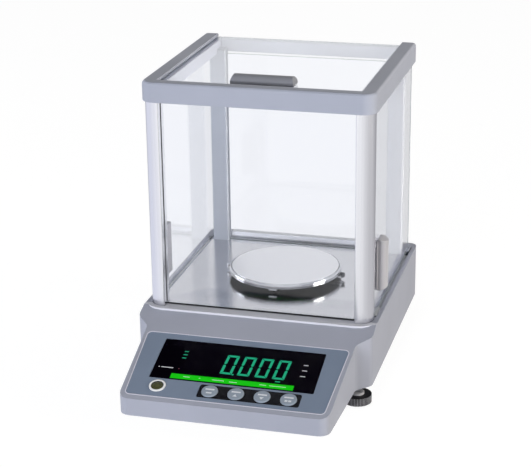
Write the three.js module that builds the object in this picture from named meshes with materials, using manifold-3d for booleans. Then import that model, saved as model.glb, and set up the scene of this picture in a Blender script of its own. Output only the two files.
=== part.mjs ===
// A precision laboratory balance with a sliding glass draft shield, built as separate solids.
// Millimetres, +Z up, +X to the operator's right, +Y towards the back.
// The origin lies on the bench, under the middle of the balance.
import * as THREE from 'three';
import { mergeVertices } from 'three/addons/utils/BufferGeometryUtils.js';
import Module from 'manifold-3d';

const wasm = await Module();
wasm.setup();

// Counts and angles
const cornerSteps = 5;
const bevelSteps = 3;
const roundSides = 28;
const panSides = 48;
const smallSides = 14;
const knurlCount = 24;
const quarterTurn = Math.PI / 2;
const fullTurn = 2 * Math.PI;
const shoulderAngle = Math.PI / 4;

// Gaps that many pieces share
const clearance = 0.3;
const overrun = 1;

// Housing
const housingWidth = 226;
const bodyDepth = 240;
const consoleDepth = 110;
const consoleStep = 13;
const consoleTaper = 4;
const housingHeight = 54;
const consoleFrontHeight = 17;
const consoleFrontLean = 2;
const footHeight = 17;
const housingWall = 3;
const housingTopWall = 7;
const consoleTopWall = 5;
const shoulderRadius = 10;
const consoleCornerRadius = 10;
const rearCornerRadius = 8;
const lipHeight = 2;
const lipWidth = 5;
const platformCornerRadius = 19;
const basePlateThickness = 2.5;

// Draft shield frame
const shieldSetback = 15;
const shieldInset = 3;
const shieldRearInset = 14;
const chamberHeight = 200;
const frameHeight = 19;
const frameCornerRadius = 13;
const frameEdgeRadius = 3.5;
const frameSideWidth = 14;
const frameFrontWidth = 11;
const frameLedge = 4.5;
const ledgeHeight = 12.3;
const slideSlotHeight = 3.6;
const slideSlotDepth = 3;
const socketDepth = 4;
const railEndRadius = 4;

// Pillars
const pillarWidth = 15.7;
const pillarDepth = 17;
const pillarCornerRadius = 13;
const pillarInset = 2.1;
const pillarSetback = 1;
const pillarEdgeRadius = 1.2;
const rearPillarWidth = 16.5;
const rearPillarDepth = 12;
const rearPillarInset = 21;
const rearPillarSideInset = 10;
const rearPillarCornerRadius = 5;

// Glass
const glassThickness = 2.5;
const glassSlotDepth = 2.6;
const frontGlassSetback = 8.5;
const rearGlassInset = 16;
const sideDoorInset = 6;
const sideDoorFront = 14.2;
const sideDoorRearInset = 4.8;
const topDoorFront = 8.6;
const topDoorRearInset = 0.4;
const doorEngagement = 3.2;

// Door handles
const handleDepth = 16;
const handleFlankShare = 1 / 3;
const handleEndBevel = 2;
const topHandleLength = 60;
const topHandleProud = 8;
const topHandleSetback = 24;
const sideHandleLength = 50.4;
const sideHandleProud = 9.3;
const sideHandleSetback = 32;
const sideHandleLift = 22;
const innerGripProud = 2.4;

// Lower door tracks, the glide shoes that run in them and the stops at their ends
const trackWidth = 6.6;
const trackDepth = 4;
const trackInset = 7.5;
const trackFront = 20;
const trackRearReach = 1;
const shoeLength = 20;
const shoeHeight = 3;
const shoeStart = 24;
const stopLength = 16;
const stopRise = 1.5;

// Chamber floor and rear sill
const floorThickness = 1.5;
const floorTrackGap = 1.3;
const sillHeight = 6;
const sillDepth = 8;

// Weighing pan and what carries it
const panDiameter = 112;
const panOffset = 1.5;
const panLift = 11;
const panThickness = 1.2;
const panRimWidth = 3.4;
const panRimStep = 1;
const panSkirt = 5.8;
const panSpigotRadius = 9;
const carrierReach = 58.6;
const carrierArmWidth = 8;
const carrierThickness = 2;
const carrierHubRadius = 14;
const carrierDrop = 4;
const lugRadius = 2;
const lugRise = 2.4;
const postRadius = 5;
const postHoleRadius = 8;
const collarRadius = 10;
const collarRise = 1.6;

// Force cell and electronics
const cellRearInset = 38;
const cellWidth = 60;
const cellHeight = 26;
const cellNotch = 14;
const cellSlotLowShare = 1 / 3;
const bracketThickness = 4;
const bracketHeight = 6;
const boardThickness = 1.6;
const mainBoardLength = 50;
const mainBoardWidth = 150;
const boardForwardShare = 1 / 3;
const standoffHeight = 6;
const standoffRadius = 3;
const socketInset = 36;
const inletWidth = 14;
const inletHeight = 12;
const inletLength = 16.5;
const inletBore = 3;
const inletBoreDepth = 7.5;
const serialWidth = 31;
const serialHeight = 12.5;
const serialLength = 12.5;
const serialMouthWidth = 18;
const serialMouthHeight = 8;
const serialMouthDepth = 6;
const serialMouthTaper = 2;
const serialMouthCornerRadius = 1;
const connectorRecess = 1;
const connectorLift = 22;

// Control panel, laid out down the slope from its upper edge
const panelTopInset = 32;
const panelBottomInset = 4.1;
const panelTopSideInset = 3.5;
const panelBottomSideInset = 4.5;
const panelThickness = 2;
const panelCornerRadius = 5;
const displaySideInset = 20.5;
const displayTop = 8;
const displayBottomInset = 25;
const displayCornerRadius = 1;
const displayThickness = 1.6;
const moduleMargin = 8;
const moduleDepth = 6;
const stripEndMargin = 10.35;
const stripHeight = 16.6;
const stripBottomInset = 5.7;
const stripShiftShare = 0.267;
const stripCornerRadius = 2;
const stripThickness = 1.6;
const keyCount = 4;
const keyPitch = 24.1;
const keyRadius = 7.4;
const keyProud = 1.2;
const keyFlange = 1;
const keyFlangeHeight = 1.2;
const keyTravel = 0.8;
const switchSize = 6;
const switchHeight = 3.5;
const levelSideInset = 31.5;
const levelBottomInset = 14.5;
const levelRadius = 7.6;
const levelWall = 1.8;
const levelDepth = 8;
const levelProud = 0.8;
const vialThickness = 3;
const displayBoardMargin = 1;
const displayBoardEndMargin = 0.35;
const displayBoardDepth = 14;
const boardPostRadius = 2.5;

// Feet
const footSideInset = 13.5;
const footSetback = 2;
const padRadius = 9.5;
const padHeight = 1;
const knobRadius = 13.5;
const knobHeight = 8;
const knurlDepth = 0.6;
const knobHubRadius = 6.5;
const knobHubHeight = 2.2;
const studRadius = 3;
const studLength = 24;
const studBossRadius = 6;
const studBossHeight = 8;
const rearFootSideInset = 25;
const rearFootInset = 26;
const rearFootRadius = 12;
const rearFootTaper = 2;
const rearFootSpigotRadius = 4;
const rearFootSpigotHeight = 4;

// Screws that hold the base plate
const screwRadius = 1.5;
const screwHeadRadius = 3.2;
const screwHeadHeight = 1.8;
const screwLength = 13;
const screwBossRadius = 4.5;
const rearScrewGap = 6;
const rearScrewFootGap = 1.8;
const frontScrewSideInset = 12;
const frontScrewInset = 14;

// Places worked out from the sizes above
const housingHalf = housingWidth / 2;
const consoleBackHalf = housingHalf - consoleStep;
const consoleFrontHalf = consoleBackHalf - consoleTaper;
const rearY = (bodyDepth + consoleDepth) / 2;
const frontY = -rearY;
const shoulderY = rearY - bodyDepth;
const undersideZ = footHeight;
const platformZ = undersideZ + housingHeight;
const frameZ = platformZ + chamberHeight;
const frameTopZ = frameZ + frameHeight;
const shieldHalf = housingHalf - shieldInset;
const shieldFrontY = shoulderY + shieldSetback;
const shieldRearY = rearY - shieldRearInset;
const panY = (shieldFrontY + shieldRearY) / 2 + panOffset;
const lipY = shieldFrontY - lipWidth;
const lipZ = platformZ - lipHeight;
const slopeRun = lipY - (frontY + consoleFrontLean);
const slopeFall = lipZ - (undersideZ + consoleFrontHeight);
const slopeAngle = Math.atan2(slopeFall, slopeRun);
const pillarOuter = shieldHalf - pillarInset;
const pillarInner = pillarOuter - pillarWidth;
const pillarFrontY = shieldFrontY + pillarSetback;
const pillarBackY = pillarFrontY + pillarDepth;
const rearPillarOuter = shieldHalf - rearPillarSideInset;
const rearPillarInner = rearPillarOuter - rearPillarWidth;
const rearPillarY = shieldRearY - rearPillarInset;
const sideDoorPlane = shieldHalf - sideDoorInset;
const sideDoorOuter = sideDoorPlane + glassThickness;
const sideDoorFrontY = shieldFrontY + sideDoorFront;
const sideDoorRearY = shieldRearY - sideDoorRearInset;
const frontGlassY = shieldFrontY + frontGlassSetback;
const rearGlassY = shieldRearY - rearGlassInset;
const trackInner = shieldHalf - trackInset;
const trackOuter = trackInner + trackWidth;
const trackRearY = shieldRearY + trackRearReach;
const floorHalf = trackInner - floorTrackGap;
const topGlassZ = frameZ + ledgeHeight + clearance;
const panTopZ = platformZ + panLift;
const basePlateTopZ = undersideZ + basePlateThickness;
const carrierTopZ = panTopZ - panThickness - panRimStep - carrierDrop;
const panelTopHalf = consoleBackHalf - panelTopSideInset;
const panelBottomHalf = consoleFrontHalf - panelBottomSideInset;
const levelX = levelSideInset - panelTopHalf;
const displayHalf = panelTopHalf - displaySideInset;
const panelLength = Math.hypot(slopeRun, slopeFall) - panelTopInset - panelBottomInset;
const displayHeight = panelLength - displayTop - displayBottomInset;
const stripTop = panelLength - stripBottomInset - stripHeight;
const levelTop = panelLength - levelBottomInset;
const displayBoardLength = stripTop + stripHeight - displayTop + 2 * displayBoardEndMargin;
const stripCentre = displayHalf * stripShiftShare;
const stripHalf = ((keyCount - 1) * keyPitch) / 2 + stripEndMargin;

// The console slope's own frame: x across, y up the slope, z out of it, from the panel's upper edge.
const slopeFrame = new THREE.Matrix4()
  .makeRotationX(slopeAngle)
  .setPosition(0, lipY - panelTopInset * Math.cos(slopeAngle), lipZ - panelTopInset * Math.sin(slopeAngle));

// Points of a closed outline whose corners, given as [x, y, radius], are true arcs.
function outline(corners) {
  const points = [];
  corners.forEach(([x, y, radius], i) => {
    const corner = new THREE.Vector2(x, y);
    if (radius === 0) {
      points.push(corner);
      return;
    }
    const [beforeX, beforeY] = corners.at(i - 1);
    const [afterX, afterY] = corners[(i + 1) % corners.length];
    const before = new THREE.Vector2(beforeX, beforeY).sub(corner).normalize();
    const after = new THREE.Vector2(afterX, afterY).sub(corner).normalize();
    const half = Math.acos(THREE.MathUtils.clamp(before.dot(after), -1, 1)) / 2;
    const middle = before.clone().add(after).normalize();
    const centre = corner.clone().addScaledVector(middle, radius / Math.sin(half));
    const start = corner.clone().addScaledVector(before, radius / Math.tan(half)).sub(centre);
    const turn = (Math.PI - 2 * half) * (before.cross(after) > 0 ? -1 : 1);
    for (let step = 0; step <= cornerSteps; step += 1) {
      const arm = start.clone().rotateAround(new THREE.Vector2(), (turn * step) / cornerSteps);
      points.push(arm.add(centre));
    }
  });
  return points;
}

// A closed outline that is the same on both sides of x = 0, from its right-hand corners, front to back.
function mirrored(corners) {
  const left = corners.map(([x, y, radius]) => [-x, y, radius]).reverse();
  return outline([...corners, ...left]);
}

function rectangle(x0, x1, y0, y1, radius = 0) {
  return outline([[x0, y0, radius], [x1, y0, radius], [x1, y1, radius], [x0, y1, radius]]);
}

function circle(radius, x = 0, y = 0, sides = roundSides) {
  const points = [];
  for (let i = 0; i < sides; i += 1) {
    const angle = (fullTurn * i) / sides;
    points.push(new THREE.Vector2(x + radius * Math.cos(angle), y + radius * Math.sin(angle)));
  }
  return points;
}

// A geometry as a solid, and back again
function solid(geometry) {
  const bare = geometry.clone();
  bare.deleteAttribute('normal');
  bare.deleteAttribute('uv');
  const merged = mergeVertices(bare);
  return new wasm.Manifold(
    new wasm.Mesh({
      numProp: 3,
      vertProperties: merged.getAttribute('position').array,
      triVerts: new Uint32Array(merged.index.array),
    }),
  );
}

function geometryOf(shape) {
  const mesh = shape.getMesh();
  const geometry = new THREE.BufferGeometry();
  geometry.setAttribute('position', new THREE.BufferAttribute(mesh.vertProperties, mesh.numProp));
  geometry.setIndex(new THREE.BufferAttribute(mesh.triVerts, 1));
  geometry.computeVertexNormals();
  return geometry;
}

// An outline in plan, raised from z0 to z1
function raised(points, z0, z1) {
  const options = { depth: z1 - z0, bevelEnabled: false };
  return new THREE.ExtrudeGeometry(new THREE.Shape(points), options).translate(0, 0, z0);
}

// An outline of [y, z] points, run along X from x0 to x1
function alongX(points, x0, x1) {
  const turned = new THREE.Matrix4().makeBasis(
    new THREE.Vector3(0, 1, 0),
    new THREE.Vector3(0, 0, 1),
    new THREE.Vector3(1, 0, 0),
  );
  return raised(points, x0, x1).applyMatrix4(turned);
}

// An outline of [x, z] points, run along Y from y0 to y1
function alongY(points, y0, y1) {
  const turned = new THREE.Matrix4().makeBasis(
    new THREE.Vector3(1, 0, 0),
    new THREE.Vector3(0, 0, 1),
    new THREE.Vector3(0, -1, 0),
  );
  return raised(points, -y1, -y0).applyMatrix4(turned);
}

const block = (x0, x1, y0, y1, z0, z1) => raised(rectangle(x0, x1, y0, y1), z0, z1);
const rod = (radius, z0, z1, x = 0, y = 0, sides = roundSides) => raised(circle(radius, x, y, sides), z0, z1);
const onSlope = (geometry) => geometry.applyMatrix4(slopeFrame);
const across = (geometry) => geometry.scale(-1, 1, 1);

function join(...geometries) {
  return geometries.map(solid).reduce((whole, piece) => whole.add(piece));
}

function cut(shape, ...geometries) {
  return geometries.map(solid).reduce((rest, piece) => rest.subtract(piece), shape);
}

// A body of revolution about Z from [radius, z] points that start and end on the axis
function turned(points, x = 0, y = 0, sides = roundSides) {
  const profile = points.map(([radius, z]) => new THREE.Vector2(radius, z));
  return new THREE.LatheGeometry(profile, sides).rotateX(quarterTurn).translate(x, y, 0);
}

// A solid's copy on the other side of x = 0
function otherSide(shape) {
  const geometry = across(geometryOf(shape));
  const index = geometry.index.array;
  for (let i = 0; i < index.length; i += 3) {
    [index[i + 1], index[i + 2]] = [index[i + 2], index[i + 1]];
  }
  geometry.computeVertexNormals();
  return geometry;
}

// Finishes
const finish = (color, roughness, metalness) => new THREE.MeshStandardMaterial({ color, roughness, metalness });
const housingGrey = finish(0xa3a5b2, 0.5, 0);
const frameGrey = finish(0x9fa2ae, 0.45, 0);
const handleGrey = finish(0x85878f, 0.5, 0);
const slate = finish(0x697685, 0.55, 0);
const windowBlack = finish(0x0a0910, 0.12, 0);
const blackPlastic = finish(0x15151a, 0.45, 0);
const keyGrey = finish(0x7e8590, 0.5, 0);
const white = finish(0xe8e8e8, 0.4, 0);
const clearGlass = new THREE.MeshStandardMaterial({
  color: 0xe4efec, roughness: 0.03, metalness: 0, transparent: true, opacity: 0.25,
});
const vialGreen = finish(0x6f7d3a, 0.1, 0);
const aluminium = finish(0xcfd0da, 0.3, 1);
const stainless = finish(0xc6c8c9, 0.22, 1);
const polished = finish(0xd9dbdc, 0.12, 1);
const zinc = finish(0x9a9ca0, 0.4, 1);
const rubber = finish(0x1a1a1c, 0.85, 0);
const boardGreen = finish(0x1f5a38, 0.6, 0);

const balance = new THREE.Group();

function add(name, shape, material) {
  const geometry = shape.isBufferGeometry ? shape : geometryOf(shape);
  const mesh = new THREE.Mesh(geometry, material);
  mesh.name = name;
  balance.add(mesh);
  return mesh;
}

// The housing's plan, drawn in by an inset on every side
function housingPlan(inset) {
  const shoulderShift = inset * Math.tan(shoulderAngle / 2);
  const consoleEndY = shoulderY - (housingHalf - consoleBackHalf);
  return mirrored([
    [consoleFrontHalf - inset, frontY + inset, consoleCornerRadius - inset],
    [consoleBackHalf - inset, consoleEndY + shoulderShift, shoulderRadius + inset],
    [housingHalf - inset, shoulderY + shoulderShift, shoulderRadius - inset],
    [housingHalf - inset, rearY - inset, rearCornerRadius - inset],
  ]);
}

// All that lies above the console slope, lowered along its normal by a depth
function aboveSlope(depth) {
  const reach = panelTopInset + lipWidth + shieldSetback;
  return onSlope(block(-housingWidth, housingWidth, -consoleDepth - bodyDepth, reach, -depth, housingHeight));
}

function panelOutline(grow) {
  const top = panelTopHalf + grow;
  const bottom = panelBottomHalf + grow;
  return mirrored([
    [bottom, -panelLength - grow, panelCornerRadius],
    [top, grow, panelCornerRadius],
  ]);
}

const keyCentres = Array.from({ length: keyCount }, (_, i) => ({
  x: stripCentre + (i - (keyCount - 1) / 2) * keyPitch,
  y: -(stripTop + stripHeight / 2),
}));

const displayOutline = (grow) => rectangle(
  -displayHalf - grow,
  displayHalf + grow,
  -displayTop - displayHeight - grow,
  -displayTop + grow,
  displayCornerRadius,
);

const stripOutline = (grow) => rectangle(
  stripCentre - stripHalf - grow,
  stripCentre + stripHalf + grow,
  -stripTop - stripHeight - grow,
  -stripTop + grow,
  stripCornerRadius,
);

// The chamber floor reaches between the pillars to the front glass and to the rear sill
function floorPlan(grow) {
  const frontHalf = pillarInner - clearance + grow;
  const half = floorHalf + grow;
  const rearHalf = rearPillarInner - clearance + grow;
  const frontStep = pillarBackY + clearance - grow;
  const rearStep = rearPillarY - clearance + grow;
  return mirrored([
    [frontHalf, frontGlassY + glassThickness + clearance - grow, 0],
    [frontHalf, frontStep, 0],
    [half, frontStep, 0],
    [half, rearStep, 0],
    [rearHalf, rearStep, 0],
    [rearHalf, shieldRearY - sillDepth - clearance + grow, 0],
  ]);
}

// Right-hand pillars in plan, the front one with its rounded outer corner
function frontPillarPlan(grow) {
  return outline([
    [pillarInner - grow, pillarFrontY - grow, pillarEdgeRadius],
    [pillarOuter + grow, pillarFrontY - grow, pillarCornerRadius],
    [pillarOuter + grow, pillarBackY + grow, pillarEdgeRadius],
    [pillarInner - grow, pillarBackY + grow, pillarEdgeRadius],
  ]);
}

function rearPillarPlan(grow) {
  return outline([
    [rearPillarInner - grow, rearPillarY - grow, pillarEdgeRadius],
    [rearPillarOuter + grow, rearPillarY - grow, pillarEdgeRadius],
    [rearPillarOuter + grow, rearPillarY + rearPillarDepth + grow, rearPillarCornerRadius],
    [rearPillarInner - grow, rearPillarY + rearPillarDepth + grow, pillarEdgeRadius],
  ]);
}

const inPairs = (half, y) => [-1, 1].map((side) => ({ x: side * half, y }));
const footPlaces = inPairs(housingHalf - footSideInset, shoulderY - footSetback);
const rearFootPlaces = inPairs(housingHalf - rearFootSideInset, rearY - rearFootInset);
const rearScrewY = rearY - rearFootInset + rearFootRadius + rearScrewFootGap + screwHeadRadius;
const screwPlaces = [
  ...inPairs(consoleFrontHalf - frontScrewSideInset, frontY + frontScrewInset),
  ...inPairs(socketInset + serialWidth / 2 + rearScrewGap + screwBossRadius, rearScrewY),
];
const connectorZ = undersideZ + connectorLift;

function makeHousing() {
  const platform = solid(raised(
    mirrored([
      [housingHalf + overrun, lipY, platformCornerRadius],
      [housingHalf + overrun, rearY + overrun, 0],
    ]),
    undersideZ,
    platformZ + overrun,
  ));
  const outer = solid(raised(housingPlan(0), undersideZ, platformZ))
    .subtract(solid(aboveSlope(0)).subtract(platform));
  const cavityTop = platformZ - housingTopWall;
  const cavity = cut(
    solid(raised(housingPlan(housingWall), undersideZ - overrun, cavityTop)),
    aboveSlope(consoleTopWall),
  );
  const bosses = screwPlaces.map(({ x, y }) => (
    solid(rod(screwBossRadius, basePlateTopZ + clearance, platformZ - overrun, x, y, smallSides))
  ));
  let shell = outer.subtract(cavity);
  bosses.forEach((boss) => {
    shell = shell.add(boss.intersect(outer));
  });
  const pocketDepth = panelThickness + clearance;
  const lowest = -consoleTopWall - overrun;
  const displayHole = rectangle(
    -displayHalf + moduleMargin / 2,
    displayHalf - moduleMargin / 2,
    -displayTop - displayHeight + moduleMargin / 2,
    -displayTop - moduleMargin / 2,
  );
  const doorTrack = (side) => {
    const inner = side * trackInner;
    const outerEdge = side * trackOuter;
    return block(
      Math.min(inner, outerEdge),
      Math.max(inner, outerEdge),
      shieldFrontY + trackFront,
      trackRearY,
      platformZ - trackDepth,
      platformZ + overrun,
    );
  };
  const sockets = [frontPillarPlan(clearance), rearPillarPlan(clearance)].map((plan) => (
    raised(plan, platformZ - socketDepth - clearance, platformZ + overrun)
  ));
  shell = cut(
    shell,
    onSlope(raised(panelOutline(clearance), -pocketDepth, overrun)),
    onSlope(raised(displayHole, lowest, overrun)),
    ...keyCentres.map(({ x, y }) => (
      onSlope(rod(keyRadius + keyFlange + clearance, lowest, overrun, x, y))
    )),
    onSlope(rod(levelRadius + clearance, lowest, overrun, levelX, -levelTop)),
    raised(floorPlan(clearance), platformZ - floorThickness - clearance, platformZ + overrun),
    rod(postHoleRadius, cavityTop - overrun, platformZ + overrun, 0, panY),
    doorTrack(-1),
    doorTrack(1),
    ...sockets,
    ...screwPlaces.map(({ x, y }) => (
      rod(screwRadius + clearance, undersideZ - overrun, undersideZ + screwLength + overrun, x, y, smallSides)
    )),
    alongY(
      rectangle(
        socketInset - inletWidth / 2 - clearance,
        socketInset + inletWidth / 2 + clearance,
        connectorZ - inletHeight / 2 - clearance,
        connectorZ + inletHeight / 2 + clearance,
      ),
      rearY - housingWall - overrun,
      rearY + overrun,
    ),
    alongY(
      rectangle(
        -socketInset - serialWidth / 2 - clearance,
        -socketInset + serialWidth / 2 + clearance,
        connectorZ - serialHeight / 2 - clearance,
        connectorZ + serialHeight / 2 + clearance,
      ),
      rearY - housingWall - overrun,
      rearY + overrun,
    ),
  );
  const mirroredSockets = sockets.map((socket) => otherSide(solid(socket)));
  add('upper_housing', cut(shell, ...mirroredSockets), housingGrey);
}

function makeBasePlate() {
  const inset = housingWall + clearance;
  const inside = solid(raised(housingPlan(inset), undersideZ, basePlateTopZ + studBossHeight));
  let plate = solid(raised(housingPlan(inset), undersideZ, basePlateTopZ));
  footPlaces.forEach(({ x, y }) => {
    const boss = solid(rod(studBossRadius, undersideZ, basePlateTopZ + studBossHeight, x, y, smallSides));
    plate = plate.add(boss.intersect(inside));
  });
  plate = cut(
    plate,
    ...footPlaces.map(({ x, y }) => (
      rod(studRadius + clearance, undersideZ - overrun, platformZ, x, y, smallSides)
    )),
    ...rearFootPlaces.map(({ x, y }) => (
      rod(rearFootSpigotRadius + clearance, undersideZ - overrun, platformZ, x, y, smallSides)
    )),
    ...screwPlaces.map(({ x, y }) => (
      rod(screwRadius + clearance, undersideZ - overrun, platformZ, x, y, smallSides)
    )),
  );
  add('base_plate', plate, zinc);
  screwPlaces.forEach(({ x, y }, i) => {
    const seat = undersideZ - clearance;
    add(`base_screw_${i + 1}`, turned([
      [0, seat - screwHeadHeight],
      [screwHeadRadius * Math.SQRT1_2, seat - screwHeadHeight],
      [screwHeadRadius, seat - screwHeadHeight / 2],
      [screwHeadRadius, seat],
      [screwRadius, seat],
      [screwRadius, seat + screwLength],
      [0, seat + screwLength],
    ], x, y, smallSides), zinc);
  });
}

function makeFeet() {
  footPlaces.forEach(({ x, y }, i) => {
    const side = i === 0 ? 'left' : 'right';
    const knobZ = padHeight + clearance;
    const knobTopZ = knobZ + knobHeight;
    const hubTopZ = knobTopZ + knobHubHeight;
    const rim = [];
    for (let step = 0; step < 2 * knurlCount; step += 1) {
      const angle = (fullTurn * step) / (2 * knurlCount);
      const radius = knobRadius - (step % 2) * knurlDepth;
      rim.push(new THREE.Vector2(x + radius * Math.cos(angle), y + radius * Math.sin(angle)));
    }
    const knob = join(raised(rim, knobZ, knobTopZ), rod(knobHubRadius, knobTopZ - overrun, hubTopZ, x, y));
    const bore = rod(studRadius + clearance, 0, hubTopZ + overrun, x, y, smallSides);
    add(`front_${side}_foot_knob`, cut(knob, bore), blackPlastic);
    add(`front_${side}_foot_stud`, rod(studRadius, knobZ, knobZ + studLength, x, y, smallSides), zinc);
    add(`front_${side}_foot_pad`, turned([
      [0, 0],
      [padRadius - padHeight / 2, 0],
      [padRadius, padHeight / 2],
      [padRadius, padHeight],
      [0, padHeight],
    ], x, y), rubber);
  });
  rearFootPlaces.forEach(({ x, y }, i) => {
    const top = undersideZ - clearance;
    add(`rear_${i === 0 ? 'left' : 'right'}_foot`, turned([
      [0, 0],
      [rearFootRadius - rearFootTaper, 0],
      [rearFootRadius, rearFootTaper],
      [rearFootRadius, top],
      [rearFootSpigotRadius, top],
      [rearFootSpigotRadius, basePlateTopZ + rearFootSpigotHeight],
      [0, basePlateTopZ + rearFootSpigotHeight],
    ], x, y), rubber);
  });
}

function makeControlPanel() {
  const seat = -panelThickness;
  const displaySeat = -displayThickness;
  add('control_panel', cut(
    solid(onSlope(raised(panelOutline(0), seat, 0))),
    onSlope(raised(displayOutline(clearance), displaySeat - overrun, overrun)),
    onSlope(raised(stripOutline(clearance), seat - overrun, overrun)),
    onSlope(rod(levelRadius + clearance, seat - overrun, overrun, levelX, -levelTop)),
  ), slate);
  add('display_window', onSlope(raised(displayOutline(0), displaySeat, 0)), windowBlack);
  const moduleTop = -panelThickness - clearance;
  add('display_module', onSlope(block(
    -displayHalf + moduleMargin,
    displayHalf - moduleMargin,
    -displayTop - displayHeight + moduleMargin,
    -displayTop - moduleMargin,
    moduleTop - moduleDepth,
    moduleTop,
  )), blackPlastic);
  add('keypad_strip', cut(
    solid(onSlope(raised(stripOutline(0), -stripThickness, 0))),
    ...keyCentres.map(({ x, y }) => (
      onSlope(rod(keyRadius + clearance, -stripThickness - overrun, overrun, x, y))
    )),
  ), blackPlastic);
  const boardTop = -displayBoardDepth;
  const boardCentre = -displayTop - (stripTop + stripHeight - displayTop) / 2;
  const boardHalf = displayHalf + displayBoardMargin;
  const postX = boardHalf - boardPostRadius;
  const postY = displayBoardLength / 2 - boardPostRadius;
  const board = join(
    block(
      -boardHalf,
      boardHalf,
      boardCentre - displayBoardLength / 2,
      boardCentre + displayBoardLength / 2,
      boardTop - boardThickness,
      boardTop,
    ),
    ...[-1, 1].flatMap((side) => [-1, 1].map((end) => rod(
      boardPostRadius,
      boardTop - boardThickness / 2,
      -consoleTopWall - clearance,
      side * postX,
      boardCentre + end * postY,
      smallSides,
    ))),
  );
  add('display_board', geometryOf(board).applyMatrix4(slopeFrame), boardGreen);
  keyCentres.forEach(({ x, y }, i) => {
    const flangeTop = -stripThickness - clearance;
    const flangeBottom = flangeTop - keyFlangeHeight;
    const stemBottom = boardTop + switchHeight + keyTravel + clearance;
    const key = join(
      rod(keyRadius, flangeTop - overrun / 2, keyProud, x, y),
      rod(keyRadius + keyFlange, flangeBottom, flangeTop, x, y),
      rod(keyRadius / 2, stemBottom, flangeBottom + overrun / 2, x, y, smallSides),
    );
    add(`key_${i + 1}`, geometryOf(key).applyMatrix4(slopeFrame), keyGrey);
    add(`key_switch_${i + 1}`, onSlope(block(
      x - switchSize / 2,
      x + switchSize / 2,
      y - switchSize / 2,
      y + switchSize / 2,
      boardTop + clearance,
      boardTop + switchHeight,
    )), zinc);
  });
  const caseBottom = levelProud - levelDepth;
  const vialBottom = levelProud - vialThickness;
  add('level_case', cut(
    solid(onSlope(rod(levelRadius, caseBottom, levelProud, levelX, -levelTop))),
    onSlope(rod(levelRadius - levelWall, vialBottom - clearance, levelProud + overrun, levelX, -levelTop)),
  ), white);
  add('level_vial', onSlope(rod(
    levelRadius - levelWall - clearance,
    vialBottom,
    levelProud - clearance,
    levelX,
    -levelTop,
  )), vialGreen);
}

function makeFloorAndPan() {
  const floorTop = platformZ;
  const floor = join(
    raised(floorPlan(0), floorTop - floorThickness, floorTop),
    rod(collarRadius, floorTop - floorThickness, floorTop + collarRise, 0, panY),
  );
  const throat = rod(postHoleRadius, floorTop - floorThickness - overrun, panTopZ, 0, panY);
  add('chamber_floor', cut(floor, throat), stainless);
  add('rear_sill', block(
    -rearPillarInner + clearance,
    rearPillarInner - clearance,
    shieldRearY - sillDepth,
    shieldRearY,
    platformZ + clearance,
    platformZ + sillHeight,
  ), frameGrey);
  const panRadius = panDiameter / 2;
  const flatRadius = panRadius - panRimWidth;
  const rimTop = panTopZ - panRimStep;
  const spigotBottom = carrierTopZ + clearance;
  add('weighing_pan', turned([
    [0, spigotBottom],
    [panSpigotRadius, spigotBottom],
    [panSpigotRadius, panTopZ - panThickness],
    [flatRadius - panThickness, panTopZ - panThickness],
    [flatRadius - panThickness, rimTop - panThickness],
    [panRadius - panThickness, rimTop - panThickness],
    [panRadius - panThickness, panTopZ - panSkirt],
    [panRadius, panTopZ - panSkirt],
    [panRadius, rimTop - panThickness / 2],
    [panRadius - panThickness / 2, rimTop],
    [flatRadius, rimTop],
    [flatRadius, panTopZ - panThickness / 2],
    [flatRadius - panThickness / 2, panTopZ],
    [0, panTopZ],
  ], 0, panY, panSides), polished);
  const carrierBottomZ = carrierTopZ - carrierThickness;
  const arm = carrierArmWidth / 2;
  const sideReach = panRadius - panRimWidth - panThickness;
  const carrier = join(
    rod(carrierHubRadius, carrierBottomZ, carrierTopZ, 0, panY),
    block(-carrierReach, carrierReach, panY - arm, panY + arm, carrierBottomZ, carrierTopZ),
    block(-arm, arm, panY - sideReach, panY + sideReach, carrierBottomZ, carrierTopZ),
    ...[-1, 1].map((side) => (
      rod(lugRadius, carrierBottomZ, carrierTopZ + lugRise, side * carrierReach, panY, smallSides)
    )),
  );
  add('pan_carrier', carrier, stainless);
  const cellTopZ = basePlateTopZ + clearance + bracketHeight + clearance + cellHeight;
  add('pan_post', rod(postRadius, cellTopZ + clearance, carrierBottomZ - clearance, 0, panY), stainless);
}

function makeForceCell() {
  const bracketZ = basePlateTopZ + clearance;
  const cellZ = bracketZ + bracketHeight + clearance;
  const cellFront = panY - cellWidth / 2;
  const cellBack = rearY - cellRearInset;
  const half = cellWidth / 2;
  const foot = half + bracketThickness + clearance;
  const bracket = join(
    block(-foot, foot, cellBack - cellNotch, cellBack, bracketZ, bracketZ + bracketHeight),
    block(-foot, foot, cellFront, cellFront + cellNotch, bracketZ, bracketZ + bracketHeight),
    block(-half, half, cellFront, cellBack, bracketZ, bracketZ + bracketHeight / 2),
    block(half + clearance, foot, cellFront, cellBack, bracketZ, bracketZ + 2 * bracketHeight),
    block(-foot, -half - clearance, cellFront, cellBack, bracketZ, bracketZ + 2 * bracketHeight),
  );
  add('force_cell_bracket', bracket, zinc);
  const cell = cut(
    solid(block(-half, half, cellFront, cellBack, cellZ, cellZ + cellHeight)),
    block(
      -half - overrun,
      half + overrun,
      cellFront + cellNotch,
      cellBack - cellNotch,
      cellZ + cellHeight * cellSlotLowShare,
      cellZ + cellHeight / 2,
    ),
    block(
      -half - overrun,
      half + overrun,
      cellFront + cellWidth,
      cellFront + cellWidth + cellNotch,
      cellZ + cellHeight / 2 - overrun,
      cellZ + cellHeight + overrun,
    ),
  );
  add('force_cell', cell, aluminium);
}

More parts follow.
